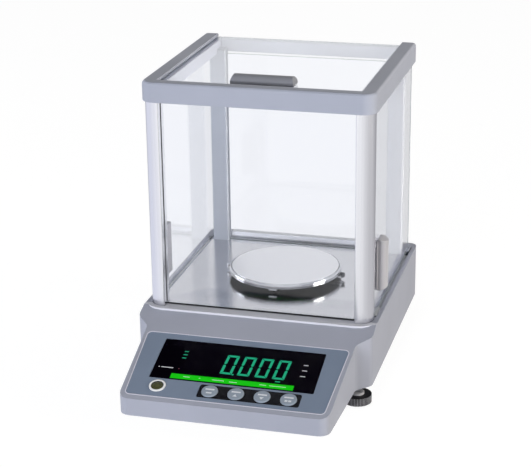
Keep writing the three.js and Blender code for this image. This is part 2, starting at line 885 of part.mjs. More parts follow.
function makeElectronics() {
  const boardZ = basePlateTopZ + clearance + standoffHeight;
  const boardFront = shoulderY - mainBoardLength * boardForwardShare;
  const boardBack = boardFront + mainBoardLength;
  const board = join(
    block(-mainBoardWidth / 2, mainBoardWidth / 2, boardFront, boardBack, boardZ, boardZ + boardThickness),
    ...[-1, 1].flatMap((side) => [boardFront, boardBack].map((edge) => rod(
      standoffRadius,
      basePlateTopZ + clearance,
      boardZ + boardThickness / 2,
      side * (mainBoardWidth / 2 - 2 * standoffRadius),
      edge === boardFront ? edge + 2 * standoffRadius : edge - 2 * standoffRadius,
      smallSides,
    ))),
  );
  add('main_board', board, boardGreen);
  const mouthY = rearY - connectorRecess;
  const inlet = cut(
    solid(alongY(
      rectangle(
        socketInset - inletWidth / 2,
        socketInset + inletWidth / 2,
        connectorZ - inletHeight / 2,
        connectorZ + inletHeight / 2,
      ),
      mouthY - inletLength,
      mouthY,
    )),
    alongY(circle(inletBore, socketInset, connectorZ), mouthY - inletBoreDepth, mouthY + overrun),
  );
  add('power_inlet', inlet, blackPlastic);
  const mouthHalf = serialMouthWidth / 2;
  const mouthBottomZ = connectorZ - serialMouthHeight / 2;
  const serial = cut(
    solid(alongY(
      rectangle(
        -socketInset - serialWidth / 2,
        -socketInset + serialWidth / 2,
        connectorZ - serialHeight / 2,
        connectorZ + serialHeight / 2,
      ),
      mouthY - serialLength,
      mouthY,
    )),
    alongY(
      outline([
        [-socketInset - mouthHalf + serialMouthTaper, mouthBottomZ, serialMouthCornerRadius],
        [-socketInset + mouthHalf - serialMouthTaper, mouthBottomZ, serialMouthCornerRadius],
        [-socketInset + mouthHalf, mouthBottomZ + serialMouthHeight, serialMouthCornerRadius],
        [-socketInset - mouthHalf, mouthBottomZ + serialMouthHeight, serialMouthCornerRadius],
      ]),
      mouthY - serialMouthDepth,
      mouthY + overrun,
    ),
  );
  add('serial_connector', serial, zinc);
}

function makePillars() {
  const z0 = platformZ - socketDepth;
  const z1 = frameZ + socketDepth;
  const doorSlot = block(
    sideDoorPlane - clearance,
    sideDoorOuter + clearance,
    sideDoorFrontY - clearance,
    pillarBackY + overrun,
    z0 - overrun,
    z1 + overrun,
  );
  const frontSlot = block(
    pillarInner - overrun,
    pillarInner + glassSlotDepth,
    frontGlassY - clearance,
    frontGlassY + glassThickness + clearance,
    z0 - overrun,
    z1 + overrun,
  );
  const rearSlot = block(
    rearPillarInner - overrun,
    rearPillarInner + glassSlotDepth,
    rearGlassY - clearance,
    rearGlassY + glassThickness + clearance,
    z0 - overrun,
    z1 + overrun,
  );
  const front = cut(solid(raised(frontPillarPlan(0), z0, z1)), doorSlot, frontSlot);
  const rear = cut(solid(raised(rearPillarPlan(0), z0, z1)), rearSlot);
  add('front_right_pillar', front, aluminium);
  add('front_left_pillar', otherSide(front), aluminium);
  add('rear_right_pillar', rear, aluminium);
  add('rear_left_pillar', otherSide(rear), aluminium);
}

function makeTopFrame() {
  const plan = mirrored([
    [shieldHalf, shieldFrontY, frameCornerRadius],
    [shieldHalf, shieldRearY, railEndRadius],
  ]);
  const roundOver = {
    depth: frameHeight,
    bevelThickness: frameEdgeRadius,
    bevelSize: frameEdgeRadius,
    bevelOffset: -frameEdgeRadius,
    bevelSegments: bevelSteps,
  };
  const domed = solid(new THREE.ExtrudeGeometry(new THREE.Shape(plan), roundOver)
    .translate(0, 0, frameTopZ - frameHeight - frameEdgeRadius));
  const slab = solid(raised(plan, frameZ, frameTopZ));
  const ledgeTopZ = frameZ + ledgeHeight;
  const openHalf = shieldHalf - frameSideWidth;
  const ledgeHalf = openHalf - frameLedge;
  const innerFrontY = shieldFrontY + frameFrontWidth;
  const past = shieldRearY + overrun;
  const railDepth = slideSlotDepth + clearance;
  const guide = block(
    sideDoorPlane - clearance,
    sideDoorOuter + clearance,
    sideDoorFrontY - clearance,
    past,
    frameZ - overrun,
    frameZ + doorEngagement + clearance,
  );
  const sockets = [frontPillarPlan(clearance), rearPillarPlan(clearance)].map((points) => (
    raised(points, frameZ - overrun, frameZ + socketDepth + clearance)
  ));
  const rightSide = [guide, ...sockets];
  const leftSide = rightSide.map((geometry) => otherSide(solid(geometry)));
  add('top_frame', cut(
    domed.intersect(slab),
    block(-openHalf, openHalf, innerFrontY, past, ledgeTopZ, frameTopZ + overrun),
    block(-ledgeHalf, ledgeHalf, innerFrontY + frameLedge, past, frameZ - overrun, frameTopZ),
    block(
      -openHalf - railDepth,
      openHalf + railDepth,
      innerFrontY - railDepth,
      past,
      ledgeTopZ,
      ledgeTopZ + slideSlotHeight,
    ),
    ...rightSide,
    ...leftSide,
  ), frameGrey);
  add('rear_rail', block(
    -ledgeHalf + clearance,
    ledgeHalf - clearance,
    shieldRearY - sillDepth,
    shieldRearY,
    frameZ,
    ledgeTopZ,
  ), frameGrey);
}

// The half-round section of a door handle, from its seat outwards, with its ends bevelled
function handle(length, proud) {
  const half = handleDepth / 2;
  const flank = proud * handleFlankShare;
  const arc = [];
  const steps = 2 * cornerSteps;
  for (let step = 0; step <= steps; step += 1) {
    const angle = (Math.PI * step) / steps;
    arc.push(new THREE.Vector2(half * Math.cos(angle), flank + (proud - flank) * Math.sin(angle)));
  }
  const section = [new THREE.Vector2(-half, 0), new THREE.Vector2(half, 0), ...arc];
  const bar = solid(alongX(section, -length / 2, length / 2));
  const wedge = (side) => {
    const end = (side * length) / 2;
    const ends = [
      new THREE.Vector2(end + side * overrun, flank),
      new THREE.Vector2(end + side * overrun, proud + overrun),
      new THREE.Vector2(end - side * handleEndBevel, proud + overrun),
      new THREE.Vector2(end, flank),
    ];
    return alongY(side > 0 ? ends : ends.reverse(), -handleDepth, handleDepth);
  };
  return geometryOf(cut(bar, wedge(-1), wedge(1)));
}

function makeGlass() {
  const seatZ = platformZ + clearance;
  const headZ = frameZ - clearance;
  const frontReach = pillarInner + glassSlotDepth - clearance;
  const rearReach = rearPillarInner + glassSlotDepth - clearance;
  const back = (y) => y + glassThickness;
  add('front_glass', block(-frontReach, frontReach, frontGlassY, back(frontGlassY), seatZ, headZ), clearGlass);
  add('rear_glass', block(-rearReach, rearReach, rearGlassY, back(rearGlassY), seatZ, headZ), clearGlass);
  const doorHalf = shieldHalf - frameSideWidth + slideSlotDepth;
  const topFrontY = shieldFrontY + topDoorFront;
  add('top_door', block(
    -doorHalf,
    doorHalf,
    topFrontY,
    shieldRearY - topDoorRearInset,
    topGlassZ,
    topGlassZ + glassThickness,
  ), clearGlass);
  const topHandleY = shieldFrontY + topHandleSetback + handleDepth / 2;
  const topHandleZ = topGlassZ + glassThickness + clearance;
  const topGrip = handle(topHandleLength, topHandleProud).translate(0, topHandleY, topHandleZ);
  add('top_door_handle', topGrip, handleGrey);
  const doorTopZ = frameZ + doorEngagement;
  const pane = solid(block(
    sideDoorPlane,
    sideDoorOuter,
    sideDoorFrontY,
    sideDoorRearY,
    platformZ + clearance,
    doorTopZ,
  ));
  const handleZ = platformZ + sideHandleLift + sideHandleLength / 2;
  const handleY = shieldFrontY + sideHandleSetback + handleDepth / 2;
  const grip = solid(handle(sideHandleLength, sideHandleProud)
    .rotateY(quarterTurn)
    .translate(sideDoorOuter + clearance, handleY, handleZ));
  const innerGrip = solid(handle(sideHandleLength, innerGripProud)
    .rotateY(-quarterTurn)
    .translate(sideDoorPlane - clearance, handleY, handleZ));
  const shoeInner = trackInner + clearance;
  const shoeY = shieldFrontY + shoeStart;
  const shoe = solid(block(
    shoeInner,
    trackOuter - clearance,
    shoeY,
    shoeY + shoeLength,
    platformZ - shoeHeight,
    platformZ,
  ));
  const stopFront = trackRearY - stopLength;
  const stop = cut(
    solid(block(
      shoeInner,
      trackOuter - clearance,
      stopFront,
      stopFront + stopLength - clearance,
      platformZ - trackDepth + clearance,
      platformZ + stopRise,
    )),
    block(
      sideDoorPlane - clearance,
      sideDoorOuter + clearance,
      stopFront - overrun,
      stopFront + stopLength + overrun,
      platformZ,
      platformZ + stopRise + overrun,
    ),
  );
  const pieces = [
    ['door', pane, clearGlass],
    ['door_handle', grip, handleGrey],
    ['door_inner_grip', innerGrip, handleGrey],
    ['door_shoe', shoe, blackPlastic],
    ['door_stop', stop, blackPlastic],
  ];
  pieces.forEach(([name, shape, material]) => {
    add(`right_${name}`, shape, material);
    add(`left_${name}`, otherSide(shape), material);
  });
}

makeHousing();
makeBasePlate();
makeFeet();
makeControlPanel();
makeFloorAndPan();
makeForceCell();
makeElectronics();
makePillars();
makeTopFrame();
makeGlass();

export default balance;
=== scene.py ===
"""The looks of a laboratory balance with a glass draft shield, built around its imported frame.

Metres, +Z up, +X to the operator's right, +Y towards the back, origin on the bench.
"""

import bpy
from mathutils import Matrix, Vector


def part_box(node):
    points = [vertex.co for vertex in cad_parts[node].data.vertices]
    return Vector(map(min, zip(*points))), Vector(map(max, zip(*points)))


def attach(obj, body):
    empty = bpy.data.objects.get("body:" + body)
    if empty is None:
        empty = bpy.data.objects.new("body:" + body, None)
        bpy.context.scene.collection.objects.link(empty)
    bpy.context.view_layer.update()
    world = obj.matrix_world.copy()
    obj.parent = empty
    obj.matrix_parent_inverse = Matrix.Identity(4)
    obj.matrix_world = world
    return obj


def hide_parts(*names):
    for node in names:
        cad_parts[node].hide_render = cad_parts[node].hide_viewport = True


bl_info = {
    "name": "Laboratory Balance",
    "version": (1, 0, 0),
    "blender": (4, 5, 0),
    "location": "3D View > Sidebar > Balance",
    "description": "Models the surfaces of a laboratory balance around its packed frame",
    "category": "Object",
}

from contextlib import contextmanager
from math import cos, pi, radians, sin

import bmesh
import bpy
from bpy.props import FloatProperty, FloatVectorProperty, PointerProperty
from mathutils import Matrix, Vector
from mathutils.geometry import convex_hull_2d

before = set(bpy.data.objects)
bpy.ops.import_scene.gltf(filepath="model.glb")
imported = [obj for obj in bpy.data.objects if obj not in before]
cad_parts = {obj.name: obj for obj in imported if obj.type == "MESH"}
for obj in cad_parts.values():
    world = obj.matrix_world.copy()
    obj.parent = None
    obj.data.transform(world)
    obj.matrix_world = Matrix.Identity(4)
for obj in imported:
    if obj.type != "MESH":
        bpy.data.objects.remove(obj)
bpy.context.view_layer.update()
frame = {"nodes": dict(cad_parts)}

MM = 0.001
TOUCH = 0.002 * MM  # what lies closer together than this is merged
LIFT = 0.01 * MM  # how far printed and lit marks stand clear of what is under them
RELIEF_DEPTH = 0.1 * MM
SIDES = {"right": 1, "left": -1}
AXES = {"x": (1, 0, 0), "y": (0, 1, 0), "z": (0, 0, 1)}


def srgb(code):
    """The linear colour, with alpha, of a display colour written as six hex digits."""
    shares = [int(code[i:i + 2], 16) / 255 for i in (0, 2, 4)]
    linear = [s / 12.92 if s <= 0.04045 else ((s + 0.055) / 1.055) ** 2.4 for s in shares]
    return (*linear, 1.0)


def colour(name, description, code):
    return FloatVectorProperty(
        name=name, description=description, default=srgb(code), subtype="COLOR", size=4, min=0, max=1
    )


def length(name, description, millimetres):
    return FloatProperty(
        name=name, description=description, default=millimetres * MM, unit="LENGTH", precision=4
    )


def share(name, description, default):
    return FloatProperty(name=name, description=description, default=default, min=0)


def angle(name, description, degrees):
    return FloatProperty(name=name, description=description, default=radians(degrees), unit="ROTATION")


# Settings


class BALANCE_PG_colours(bpy.types.PropertyGroup):
    """Colours of the balance's finishes"""

    housing: colour("Housing", "Moulded shell of the body and console", "A9ACBB")
    # Painted highlight: the ledge tint is a paler copy of the housing plastic on the lip and ledge top,
    # standing in for light on their bevel
    ledge: colour("Ledge", "Pale edge of the ledge before the shield", "D6D7E1")
    frame: colour("Shield frame", "Moulded top frame and rails", "ADB1C1")
    rail: colour("Rear rail", "Pale rear rail of the shield", "C4C7D0")
    # Partly the sill's own pale tint, partly painted light: near white to make up for the pan's shadow on
    # the sill, and a lighter copy of the right liner's grey on the shaded left track liner
    sill: colour("Rear sill", "Pale sill under the rear pane, and the left track liner", "FCFCFD")
    # Painted light: on the right inner pad this lighter tint stands in for light, the pad lying in the
    # pillar's shade
    handle: colour("Side handles", "Handles of the side doors, and the right inner pad", "BAB9C1")
    top_handle: colour("Top handle", "Handle of the top door, and the left inner pad", "8F9099")
    slate: colour("Panel", "Slate overlay of the control panel", "7F8CA1")
    # Painted highlight: the border's pale tint stands in for light on the bevelled edge round the panel's
    # recess
    border: colour("Panel border", "Thin line round the overlay", "DCDBE8")
    window: colour("Window", "Gloss window of the display", "05030A")
    digits: colour("Digits", "Lit segments of the readout", "1C9C74")
    bar: colour("Bar", "Green bar under the readout", "12BC0E")
    dot: colour("Dot", "Dim lamp on the window", "5A0E22")
    keys: colour("Keys", "Round keys", "95A0AF")
    black: colour("Black plastic", "Keypad strip, knobs and connectors", "0E0D13")
    # The hook and the carrier's right tip are dark parts; the same tint is painted shade on the strips by
    # the front pillars, in the stop blocks' slots and in the level's hollow
    dark: colour("Dark trim", "Hook, seals, stop blocks and the level's hollow", "3A3C42")
    liner: colour("Track liner", "Right track liner and the glide shoes", "BDBFC6")
    white: colour("White plastic", "Ring of the bubble level", "F0F0F2")
    ink: colour("Print", "Marks printed on keys and window", "E4E7EC")
    level: colour("Level liquid", "Liquid in the bubble level", "565738")
    glass: colour("Glass", "Tint of the panes", "F9FAFD")
    glass_edge: colour("Glass edge", "Tint of the panes' ground edges", "A9B6B9")
    aluminium: colour("Aluminium", "Anodised front pillars and the force cell", "F0F0F4")
    # Painted light: a lighter, less metallic copy of the anodised aluminium for the rear right pillar
    rear_right: colour("Rear right pillar", "Anodised rear right pillar", "DDDFE5")
    # Painted shade: a darker copy of the anodised aluminium for the rear left pillar
    rear_left: colour("Rear left pillar", "Anodised rear left pillar", "AAAFBA")
    floor: colour("Floor sheet", "Stainless sheet under the pan, and its rear strip", "CCCCCF")
    pan: colour("Pan", "Satin top of the pan", "EFEFF1")
    chrome: colour("Chrome", "Polished rim of the pan and arms of its carrier", "F0F1F5")
    # Partly the underside's dull steel, partly painted shade: the same dark steel on the foot of the skirt
    # and in the grooves of the rim
    shade: colour("Pan underside", "Dull underside of the pan", "4C4D53")
    zinc: colour("Zinc", "Plated steel parts", "9A9CA0")
    # The ribs' outer faces and the hubs take this grey; the knob's top and bottom and the grooves between
    # the ribs are black
    knurl: colour("Knob side", "Worn ribs and hubs of the foot knobs", "B4B4BA")
    rubber: colour("Rubber", "Feet and the front gasket", "17171A")
    board: colour("Circuit board", "Solder mask of the boards", "1F5A38")
    copper: colour("Contacts", "Pins of the connectors", "C8A45A")


class BALANCE_PG_sizes(bpy.types.PropertyGroup):
    """Sizes of the details that the frame doesn't hold"""

    housing_edge: length("Housing edge", "Rounding of the housing's edges", 1.1)
    console_edge: length("Console edge", "Rounding along the console's front edge", 4.2)
    rail_tip: length("Rail tip", "Rounding of the side rails' rear ends", 3.2)
    frame_edge: length("Frame edge", "Rounding of the top frame's small edges", 0.6)
    fine_edge: length("Fine edge", "Rounding of the smallest pieces", 0.3)
    glass_edge: length("Glass edge", "Polished arris of the panes", 0.3)
    print_height: length("Print height", "Thickness of printed and lit marks", 0.06)
    border_out: length("Border reach", "Reach of the panel's border past the overlay", 0.4)
    border_in: length("Border lap", "Lap of the border over the overlay", 0.5)
    border_height: length("Border height", "Height of the panel's border", 0.3)
    digit_width: length("Digit width", "Width of a digit of the readout", 11.2)
    digit_height: length("Digit height", "Height of a digit of the readout", 25.8)
    digit_pitch: length("Digit pitch", "Distance between digits", 16.2)
    digit_lean: share("Digit lean", "Sideways lean of the digits for each unit of height", 0.06)
    segment_width: length("Segment width", "Width of a lit segment", 2.4)
    pad_reach: length("Pad reach", "Reach of the inner pads past the frame's", 5.6)
    pad_shift: length("Pad shift", "Distance of the inner pads before the frame's", 8.6)
    pan_groove: length("Pan groove", "Depth of the line round the pan's top", 0.35)
    pan_roll: length("Pan roll", "Radius of the rolled rim of the pan", 1.8)


class BALANCE_PG_stage(bpy.types.PropertyGroup):
    """The studio that the balance stands in"""

    azimuth: angle("Azimuth", "Camera's turn to the right", 15.2)
    elevation: angle("Elevation", "Camera's height angle", 19.94)
    roll: angle("Roll", "Camera's roll", -0.71)
    eye: FloatVectorProperty(
        name="Eye", description="Camera's place", default=(0.3613, -1.3482, 0.6411),
        subtype="TRANSLATION", unit="LENGTH",
    )
    lens: share("Lens", "Focal length in millimetres", 105.42)
    sensor: share("Sensor", "Sensor width in millimetres", 36)
    floor_size: length("Floor", "Side of the floor", 16000)
    front: colour("Front surround", "What gloss shows of the room before the balance", "FCFDFF")
    right: colour("Right surround", "What gloss shows of the room to the right", "C4C4C8")
    back: colour("Back surround", "What gloss shows of the room behind", "FFFFFF")
    back_floor: colour("Back floor", "What gloss shows of the floor behind", "8C8C92")
    left: colour("Left surround", "What gloss shows of the room to the left", "E4E7F6")
    ceiling: colour("Ceiling", "What gloss shows of the dark ceiling", "2A2A2E")
    ambient: share("Ambient light", "Strength of the world's even light", 0.2)
    floor_glow: share("Floor glow", "Strength of the floor's own white", 0.93)


def colours():
    return bpy.context.scene.balance_colours


def sizes():
    return bpy.context.scene.balance_sizes


# Modelling helpers


def only(*pieces):
    """Selects these objects alone and makes the first one active."""
    bpy.ops.object.select_all(action="DESELECT")
    for piece in pieces:
        piece.select_set(True)
    bpy.context.view_layer.objects.active = pieces[0]


@contextmanager
def editing(piece, kind="FACE", action="DESELECT"):
    """Edit mode on one piece, with nothing or all of it selected at the start."""
    only(piece)
    bpy.ops.object.mode_set(mode="EDIT")
    bpy.ops.mesh.select_mode(type=kind)
    bpy.ops.mesh.select_all(action=action)
    yield
    bpy.ops.object.mode_set(mode="OBJECT")


def pick(kind, test):
    """In edit mode, selects each element of a kind that passes a test, and nothing else."""
    bpy.ops.mesh.select_all(action="DESELECT")
    mesh = bmesh.from_edit_mesh(bpy.context.edit_object.data)
    for element in getattr(mesh, kind):
        if test(element):
            element.select_set(True)
    mesh.select_flush_mode()
    bmesh.update_edit_mesh(bpy.context.edit_object.data)


def named(name):
    """The primitive just added, under its piece's name."""
    piece = bpy.context.active_object
    piece.name = piece.data.name = name
    return piece


def apply_place(piece):
    only(piece)
    bpy.ops.object.transform_apply(location=True, rotation=True, scale=True)
    return piece


def modify(piece, kind, **settings):
    """Adds a modifier with these settings and applies it."""
    only(piece)
    modifier = piece.modifiers.new(kind, kind)
    for setting, value in settings.items():
        setattr(modifier, setting, value)
    bpy.ops.object.modifier_apply(modifier=modifier.name)


def round_edges(piece, width, steps=3, angle=radians(30)):
    modify(
        piece, "BEVEL", width=width, segments=steps, limit_method="ANGLE", angle_limit=angle,
        use_clamp_overlap=True, miter_outer="MITER_ARC",
    )
    with editing(piece, "VERT", "SELECT"):
        bpy.ops.mesh.remove_doubles(threshold=TOUCH)


def smooth(piece, angle=radians(32)):
    only(piece)
    bpy.ops.object.shade_smooth_by_angle(angle=angle)
    modify(piece, "WEIGHTED_NORMAL", keep_sharp=True, weight=80)
    return piece


def copy_of(node, name):
    """A frame node's shape as a new piece, with its loose triangles merged into whole faces."""
    mesh = frame["nodes"][node].data.copy()
    mesh.name = name
    mesh.materials.clear()
    piece = bpy.data.objects.new(name, mesh)
    bpy.context.scene.collection.objects.link(piece)
    only(piece)
    bpy.ops.mesh.customdata_custom_splitnormals_clear()
    with editing(piece, "VERT", "SELECT"):
        bpy.ops.mesh.remove_doubles(threshold=TOUCH)
        bpy.ops.mesh.dissolve_limited(angle_limit=radians(0.4))
    return piece


def close_up():
    """In edit mode, merges what meets and turns all faces outwards."""
    bpy.ops.mesh.select_all(action="SELECT")
    bpy.ops.mesh.remove_doubles(threshold=TOUCH)
    bpy.ops.mesh.normals_make_consistent(inside=False)


def raise_by(height):
    """In edit mode, extrudes the chosen faces upwards into a closed body."""
    bpy.ops.mesh.extrude_region_move(TRANSFORM_OT_translate={"value": (0, 0, height)})
    bpy.ops.mesh.select_all(action="SELECT")
    bpy.ops.mesh.normals_make_consistent(inside=False)


def traced(name, points):
    """A line drawn from one vertex, extruded from point to point."""
    points = [Vector(p) for p in points]
    bpy.ops.mesh.primitive_plane_add(size=2 * MM)
    piece = named(name)
    with editing(piece, "VERT", "SELECT"):
        bpy.ops.mesh.merge(type="CENTER")
        bpy.ops.mesh.select_all(action="SELECT")
        bpy.ops.transform.translate(value=points[0])
        for start, end in zip(points, points[1:]):
            bpy.ops.mesh.extrude_vertices_move(TRANSFORM_OT_translate={"value": end - start})
    return piece


def wire(name, radius, points):
    """A round wire bent from point to point."""
    piece = traced(name, points)
    only(piece)
    bpy.ops.object.convert(target="CURVE")
    curve = piece.data
    curve.bevel_depth = radius
    curve.bevel_resolution = 4
    curve.use_fill_caps = True
    bpy.ops.object.convert(target="MESH")
    with editing(piece, "VERT"):
        close_up()
    return piece


def plate(name, outline, low, high):
    """A flat outline of (x, y) points filled and extruded from one height to another."""
    piece = traced(name, [(x, y, low) for x, y in outline])
    with editing(piece, "VERT", "SELECT"):
        bpy.ops.mesh.edge_face_add()
        raise_by(high - low)
    return piece


def turned(name, profile, centre=(0, 0, 0), steps=96):
    """A body of revolution about the vertical through a centre, from (radius, height) points."""
    centre = Vector(centre)
    piece = traced(name, [centre + Vector((r, 0, z)) for r, z in profile])
    with editing(piece, "VERT", "SELECT"):
        bpy.ops.mesh.spin(steps=steps, angle=2 * pi, center=centre, axis=AXES["z"])
        close_up()
    return piece


def block(name, low, high):
    """A box between two corners, to be shaped further."""
    low, high = Vector(low), Vector(high)
    bpy.ops.mesh.primitive_cube_add(size=1, location=(low + high) / 2)
    piece = named(name)
    piece.scale = high - low
    return apply_place(piece)


def arc(centre, radius, start, end, steps=8):
    """Points of a round stretch in a plane, from one angle to another."""
    x, y = centre
    angles = [start + (end - start) * i / steps for i in range(steps + 1)]
    return [(x + radius * cos(a), y + radius * sin(a)) for a in angles]


def rectangle(x0, x1, y0, y1):
    return [(x0, y0), (x1, y0), (x1, y1), (x0, y1)]


def cut(piece, tool):
    """Takes a tool's space out of a piece and removes the tool."""
    modify(piece, "BOOLEAN", operation="DIFFERENCE", object=tool, solver="EXACT")
    bpy.data.objects.remove(tool)
    return piece


def joined(name, pieces):
    """Several objects as one piece, each still a closed body with its own finish."""
    only(*pieces)
    if len(pieces) > 1:
        bpy.ops.object.join()
    return named(name)


def finish(piece, *looks):
    """Gives a piece the named materials."""
    piece.data.materials.clear()
    for look in looks:
        piece.data.materials.append(surface(look))
    return piece


def dress(piece, body, slot, *looks, replaces=()):
    """Gives a piece its materials and the body that it rides on; the slot is not used."""
    if looks:
        finish(piece, *looks)
    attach(piece, body)
    if replaces:
        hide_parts(*replaces)
    return piece


def settle(piece, body, slot, *looks, width=None, steps=2, node=None):
    """Rounds, smooths and dresses a piece, in its frame node's place if it has one."""
    round_edges(piece, width or sizes().fine_edge, steps)
    return dress(smooth(piece), body, slot, *looks, replaces=[node] if node else ())


def replica(node, name, body, slot, *looks, **edge):
    """A frame node's shape with rounded edges, in that node's place."""
    return settle(copy_of(node, name), body, slot, *looks, node=node, **edge)


def paint(piece, index, test):
    """Gives the faces that pass a test another of the piece's materials."""
    for face in piece.data.polygons:
        if test(face):
            face.material_index = index


def repaint(look, *nodes):
    """Gives carried-over frame nodes a finish."""
    for node in nodes:
        for slot in frame["nodes"][node].material_slots:
            slot.material = surface(look)


def middle(node):
    low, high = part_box(node)
    return (low + high) / 2


# Shader groups


def new_group(name, inputs, outputs):
    group = bpy.data.node_groups.new(name, "ShaderNodeTree")
    for label, kind, default in inputs:
        socket = group.interface.new_socket(label, in_out="INPUT", socket_type=kind)
        socket.default_value = default
    for label, kind in outputs:
        group.interface.new_socket(label, in_out="OUTPUT", socket_type=kind)
    return group, group.nodes.new("NodeGroupInput"), group.nodes.new("NodeGroupOutput")


def add_node(tree, kind, **settings):
    node = tree.nodes.new(kind)
    for setting, value in settings.items():
        setattr(node, setting, value)
    return node


def calculate(tree, operation, first, second=None):
    """A math node on sockets or plain numbers."""
    node = add_node(tree, "ShaderNodeMath", operation=operation)
    for socket, value in zip(node.inputs, (first, second)):
        if isinstance(value, bpy.types.NodeSocket):
            tree.links.new(value, socket)
        elif value is not None:
            socket.default_value = value
    return node.outputs[0]


def noise(group, place, scale, detail):
    node = add_node(group, "ShaderNodeTexNoise")
    node.inputs["Detail"].default_value = detail
    group.links.new(place, node.inputs["Vector"])
    group.links.new(scale, node.inputs["Scale"])
    return node.outputs["Fac"]


def grain_pattern(group, start, place):
    """Fine grain with faint blotches: what mixes the tints, the roughness and the height."""
    grain = noise(group, place, start.outputs["Grain Scale"], 3)
    blotch = noise(group, place, start.outputs["Blotch Scale"], 5)
    spread = add_node(group, "ShaderNodeMapRange")
    spread.inputs["From Min"].default_value = 0.35
    spread.inputs["From Max"].default_value = 0.65
    group.links.new(blotch, spread.inputs["Value"])
    return spread.outputs["Result"], blotch, grain


def line_pattern(group, start, place):
    """Fine lines drawn out along one axis, for the tints, the roughness and the height alike."""
    mapping = add_node(group, "ShaderNodeMapping")
    group.links.new(place, mapping.inputs["Vector"])
    group.links.new(start.outputs["Stretch"], mapping.inputs["Scale"])
    lines = noise(group, mapping.outputs["Vector"], start.outputs["Line Scale"], 4)
    return lines, lines, lines


def surface_group(name, pattern, settings):
    """A pattern on the object as a colour between two tints, a roughness and a height."""
    group, start, end = new_group(
        name,
        [
            ("Colour", "NodeSocketColor", (0.5, 0.5, 0.5, 1)),
            ("Shade", "NodeSocketColor", (0.4, 0.4, 0.4, 1)),
            *settings, ("Smoothest", "NodeSocketFloat", 0.4), ("Roughest", "NodeSocketFloat", 0.5),
        ],
        [("Colour", "NodeSocketColor"), ("Roughness", "NodeSocketFloat"), ("Height", "NodeSocketFloat")],
    )
    place = add_node(group, "ShaderNodeTexCoord").outputs["Object"]
    tone, wear, height = pattern(group, start, place)
    mix = add_node(group, "ShaderNodeMix", data_type="RGBA")
    rough = add_node(group, "ShaderNodeMapRange")
    for source, target in (
        (tone, mix.inputs["Factor"]),
        (start.outputs["Colour"], mix.inputs["A"]),
        (start.outputs["Shade"], mix.inputs["B"]),
        (wear, rough.inputs["Value"]),
        (start.outputs["Smoothest"], rough.inputs["To Min"]),
        (start.outputs["Roughest"], rough.inputs["To Max"]),
        (mix.outputs["Result"], end.inputs["Colour"]),
        (rough.outputs["Result"], end.inputs["Roughness"]),
        (height, end.inputs["Height"]),
    ):
        group.links.new(source, target)
    return group


def moulded_group():
    return surface_group("Moulded Grain", grain_pattern, [
        ("Grain Scale", "NodeSocketFloat", 1500), ("Blotch Scale", "NodeSocketFloat", 14),
    ])


def brushed_group():
    return surface_group("Brushed Lines", line_pattern, [
        ("Stretch", "NodeSocketVector", (1, 1, 1)), ("Line Scale", "NodeSocketFloat", 600),
    ])


def surround_group():
    """What gloss shows of the studio in a direction: a colour for each side, and the ceiling."""
    stage = bpy.context.scene.balance_stage
    group, start, end = new_group(
        "Studio Surround",
        [("Direction", "NodeSocketVector", (0, 0, 1)), ("Back", "NodeSocketColor", stage.back)],
        [("Colour", "NodeSocketColor")],
    )
    link = group.links.new
    split = add_node(group, "ShaderNodeSeparateXYZ")
    unit = add_node(group, "ShaderNodeVectorMath", operation="NORMALIZE")
    link(start.outputs["Direction"], unit.inputs[0])
    link(unit.outputs["Vector"], split.inputs["Vector"])
    x, y, z = (split.outputs[axis] for axis in "XYZ")
    sides = []
    for axis, behind in ((x, stage.left), (y, stage.front)):
        side = add_node(group, "ShaderNodeMix", data_type="RGBA")
        link(calculate(group, "GREATER_THAN", axis, 0.0), side.inputs["Factor"])
        side.inputs["A"].default_value = behind
        side.inputs["B"].default_value = stage.right
        sides.append(side)
    link(start.outputs["Back"], sides[1].inputs["B"])
    level = calculate(group, "SUBTRACT", 1.0001, calculate(group, "MULTIPLY", z, z))
    weight = calculate(group, "DIVIDE", calculate(group, "MULTIPLY", y, y), level)
    around = add_node(group, "ShaderNodeMix", data_type="RGBA")
    link(weight, around.inputs["Factor"])
    link(sides[0].outputs["Result"], around.inputs["A"])
    link(sides[1].outputs["Result"], around.inputs["B"])
    high = add_node(group, "ShaderNodeMapRange", interpolation_type="SMOOTHSTEP")
    link(z, high.inputs["Value"])
    high.inputs["From Min"].default_value = 0.58
    high.inputs["From Max"].default_value = 0.74
    over = add_node(group, "ShaderNodeMix", data_type="RGBA")
    link(high.outputs["Result"], over.inputs["Factor"])
    link(around.outputs["Result"], over.inputs["A"])
    over.inputs["B"].default_value = stage.ceiling
    link(over.outputs["Result"], end.inputs["Colour"])
    return group


GROUP_MAKERS = {
    "Moulded Grain": moulded_group,
    "Brushed Lines": brushed_group,
    "Studio Surround": surround_group,
}


def shared_group(name):
    return bpy.data.node_groups.get(name) or GROUP_MAKERS[name]()


# Materials


def shaded(value, factor):
    return (*[c * factor for c in value[:3]], 1.0)


def material(name, effect=None, relief=0.0, inputs=None, **sockets):
    """A named material made once: a Principled shader, fed by a shared shader group if one is named."""
    known = bpy.data.materials.get(name)
    if known:
        return known
    made = bpy.data.materials.new(name)
    made.use_nodes = True
    tree = made.node_tree
    shader = tree.nodes["Principled BSDF"]
    for socket, value in sockets.items():
        shader.inputs[socket.replace("_", " ")].default_value = value
    if effect:
        group = add_node(tree, "ShaderNodeGroup", node_tree=shared_group(effect))
        for socket, value in inputs.items():
            group.inputs[socket].default_value = value
        tree.links.new(group.outputs["Colour"], shader.inputs["Base Color"])
        tree.links.new(group.outputs["Roughness"], shader.inputs["Roughness"])
        bump = add_node(tree, "ShaderNodeBump")
        bump.inputs["Strength"].default_value = relief
        bump.inputs["Distance"].default_value = RELIEF_DEPTH
        tree.links.new(group.outputs["Height"], bump.inputs["Height"])
        tree.links.new(bump.outputs["Normal"], shader.inputs["Normal"])
    return made


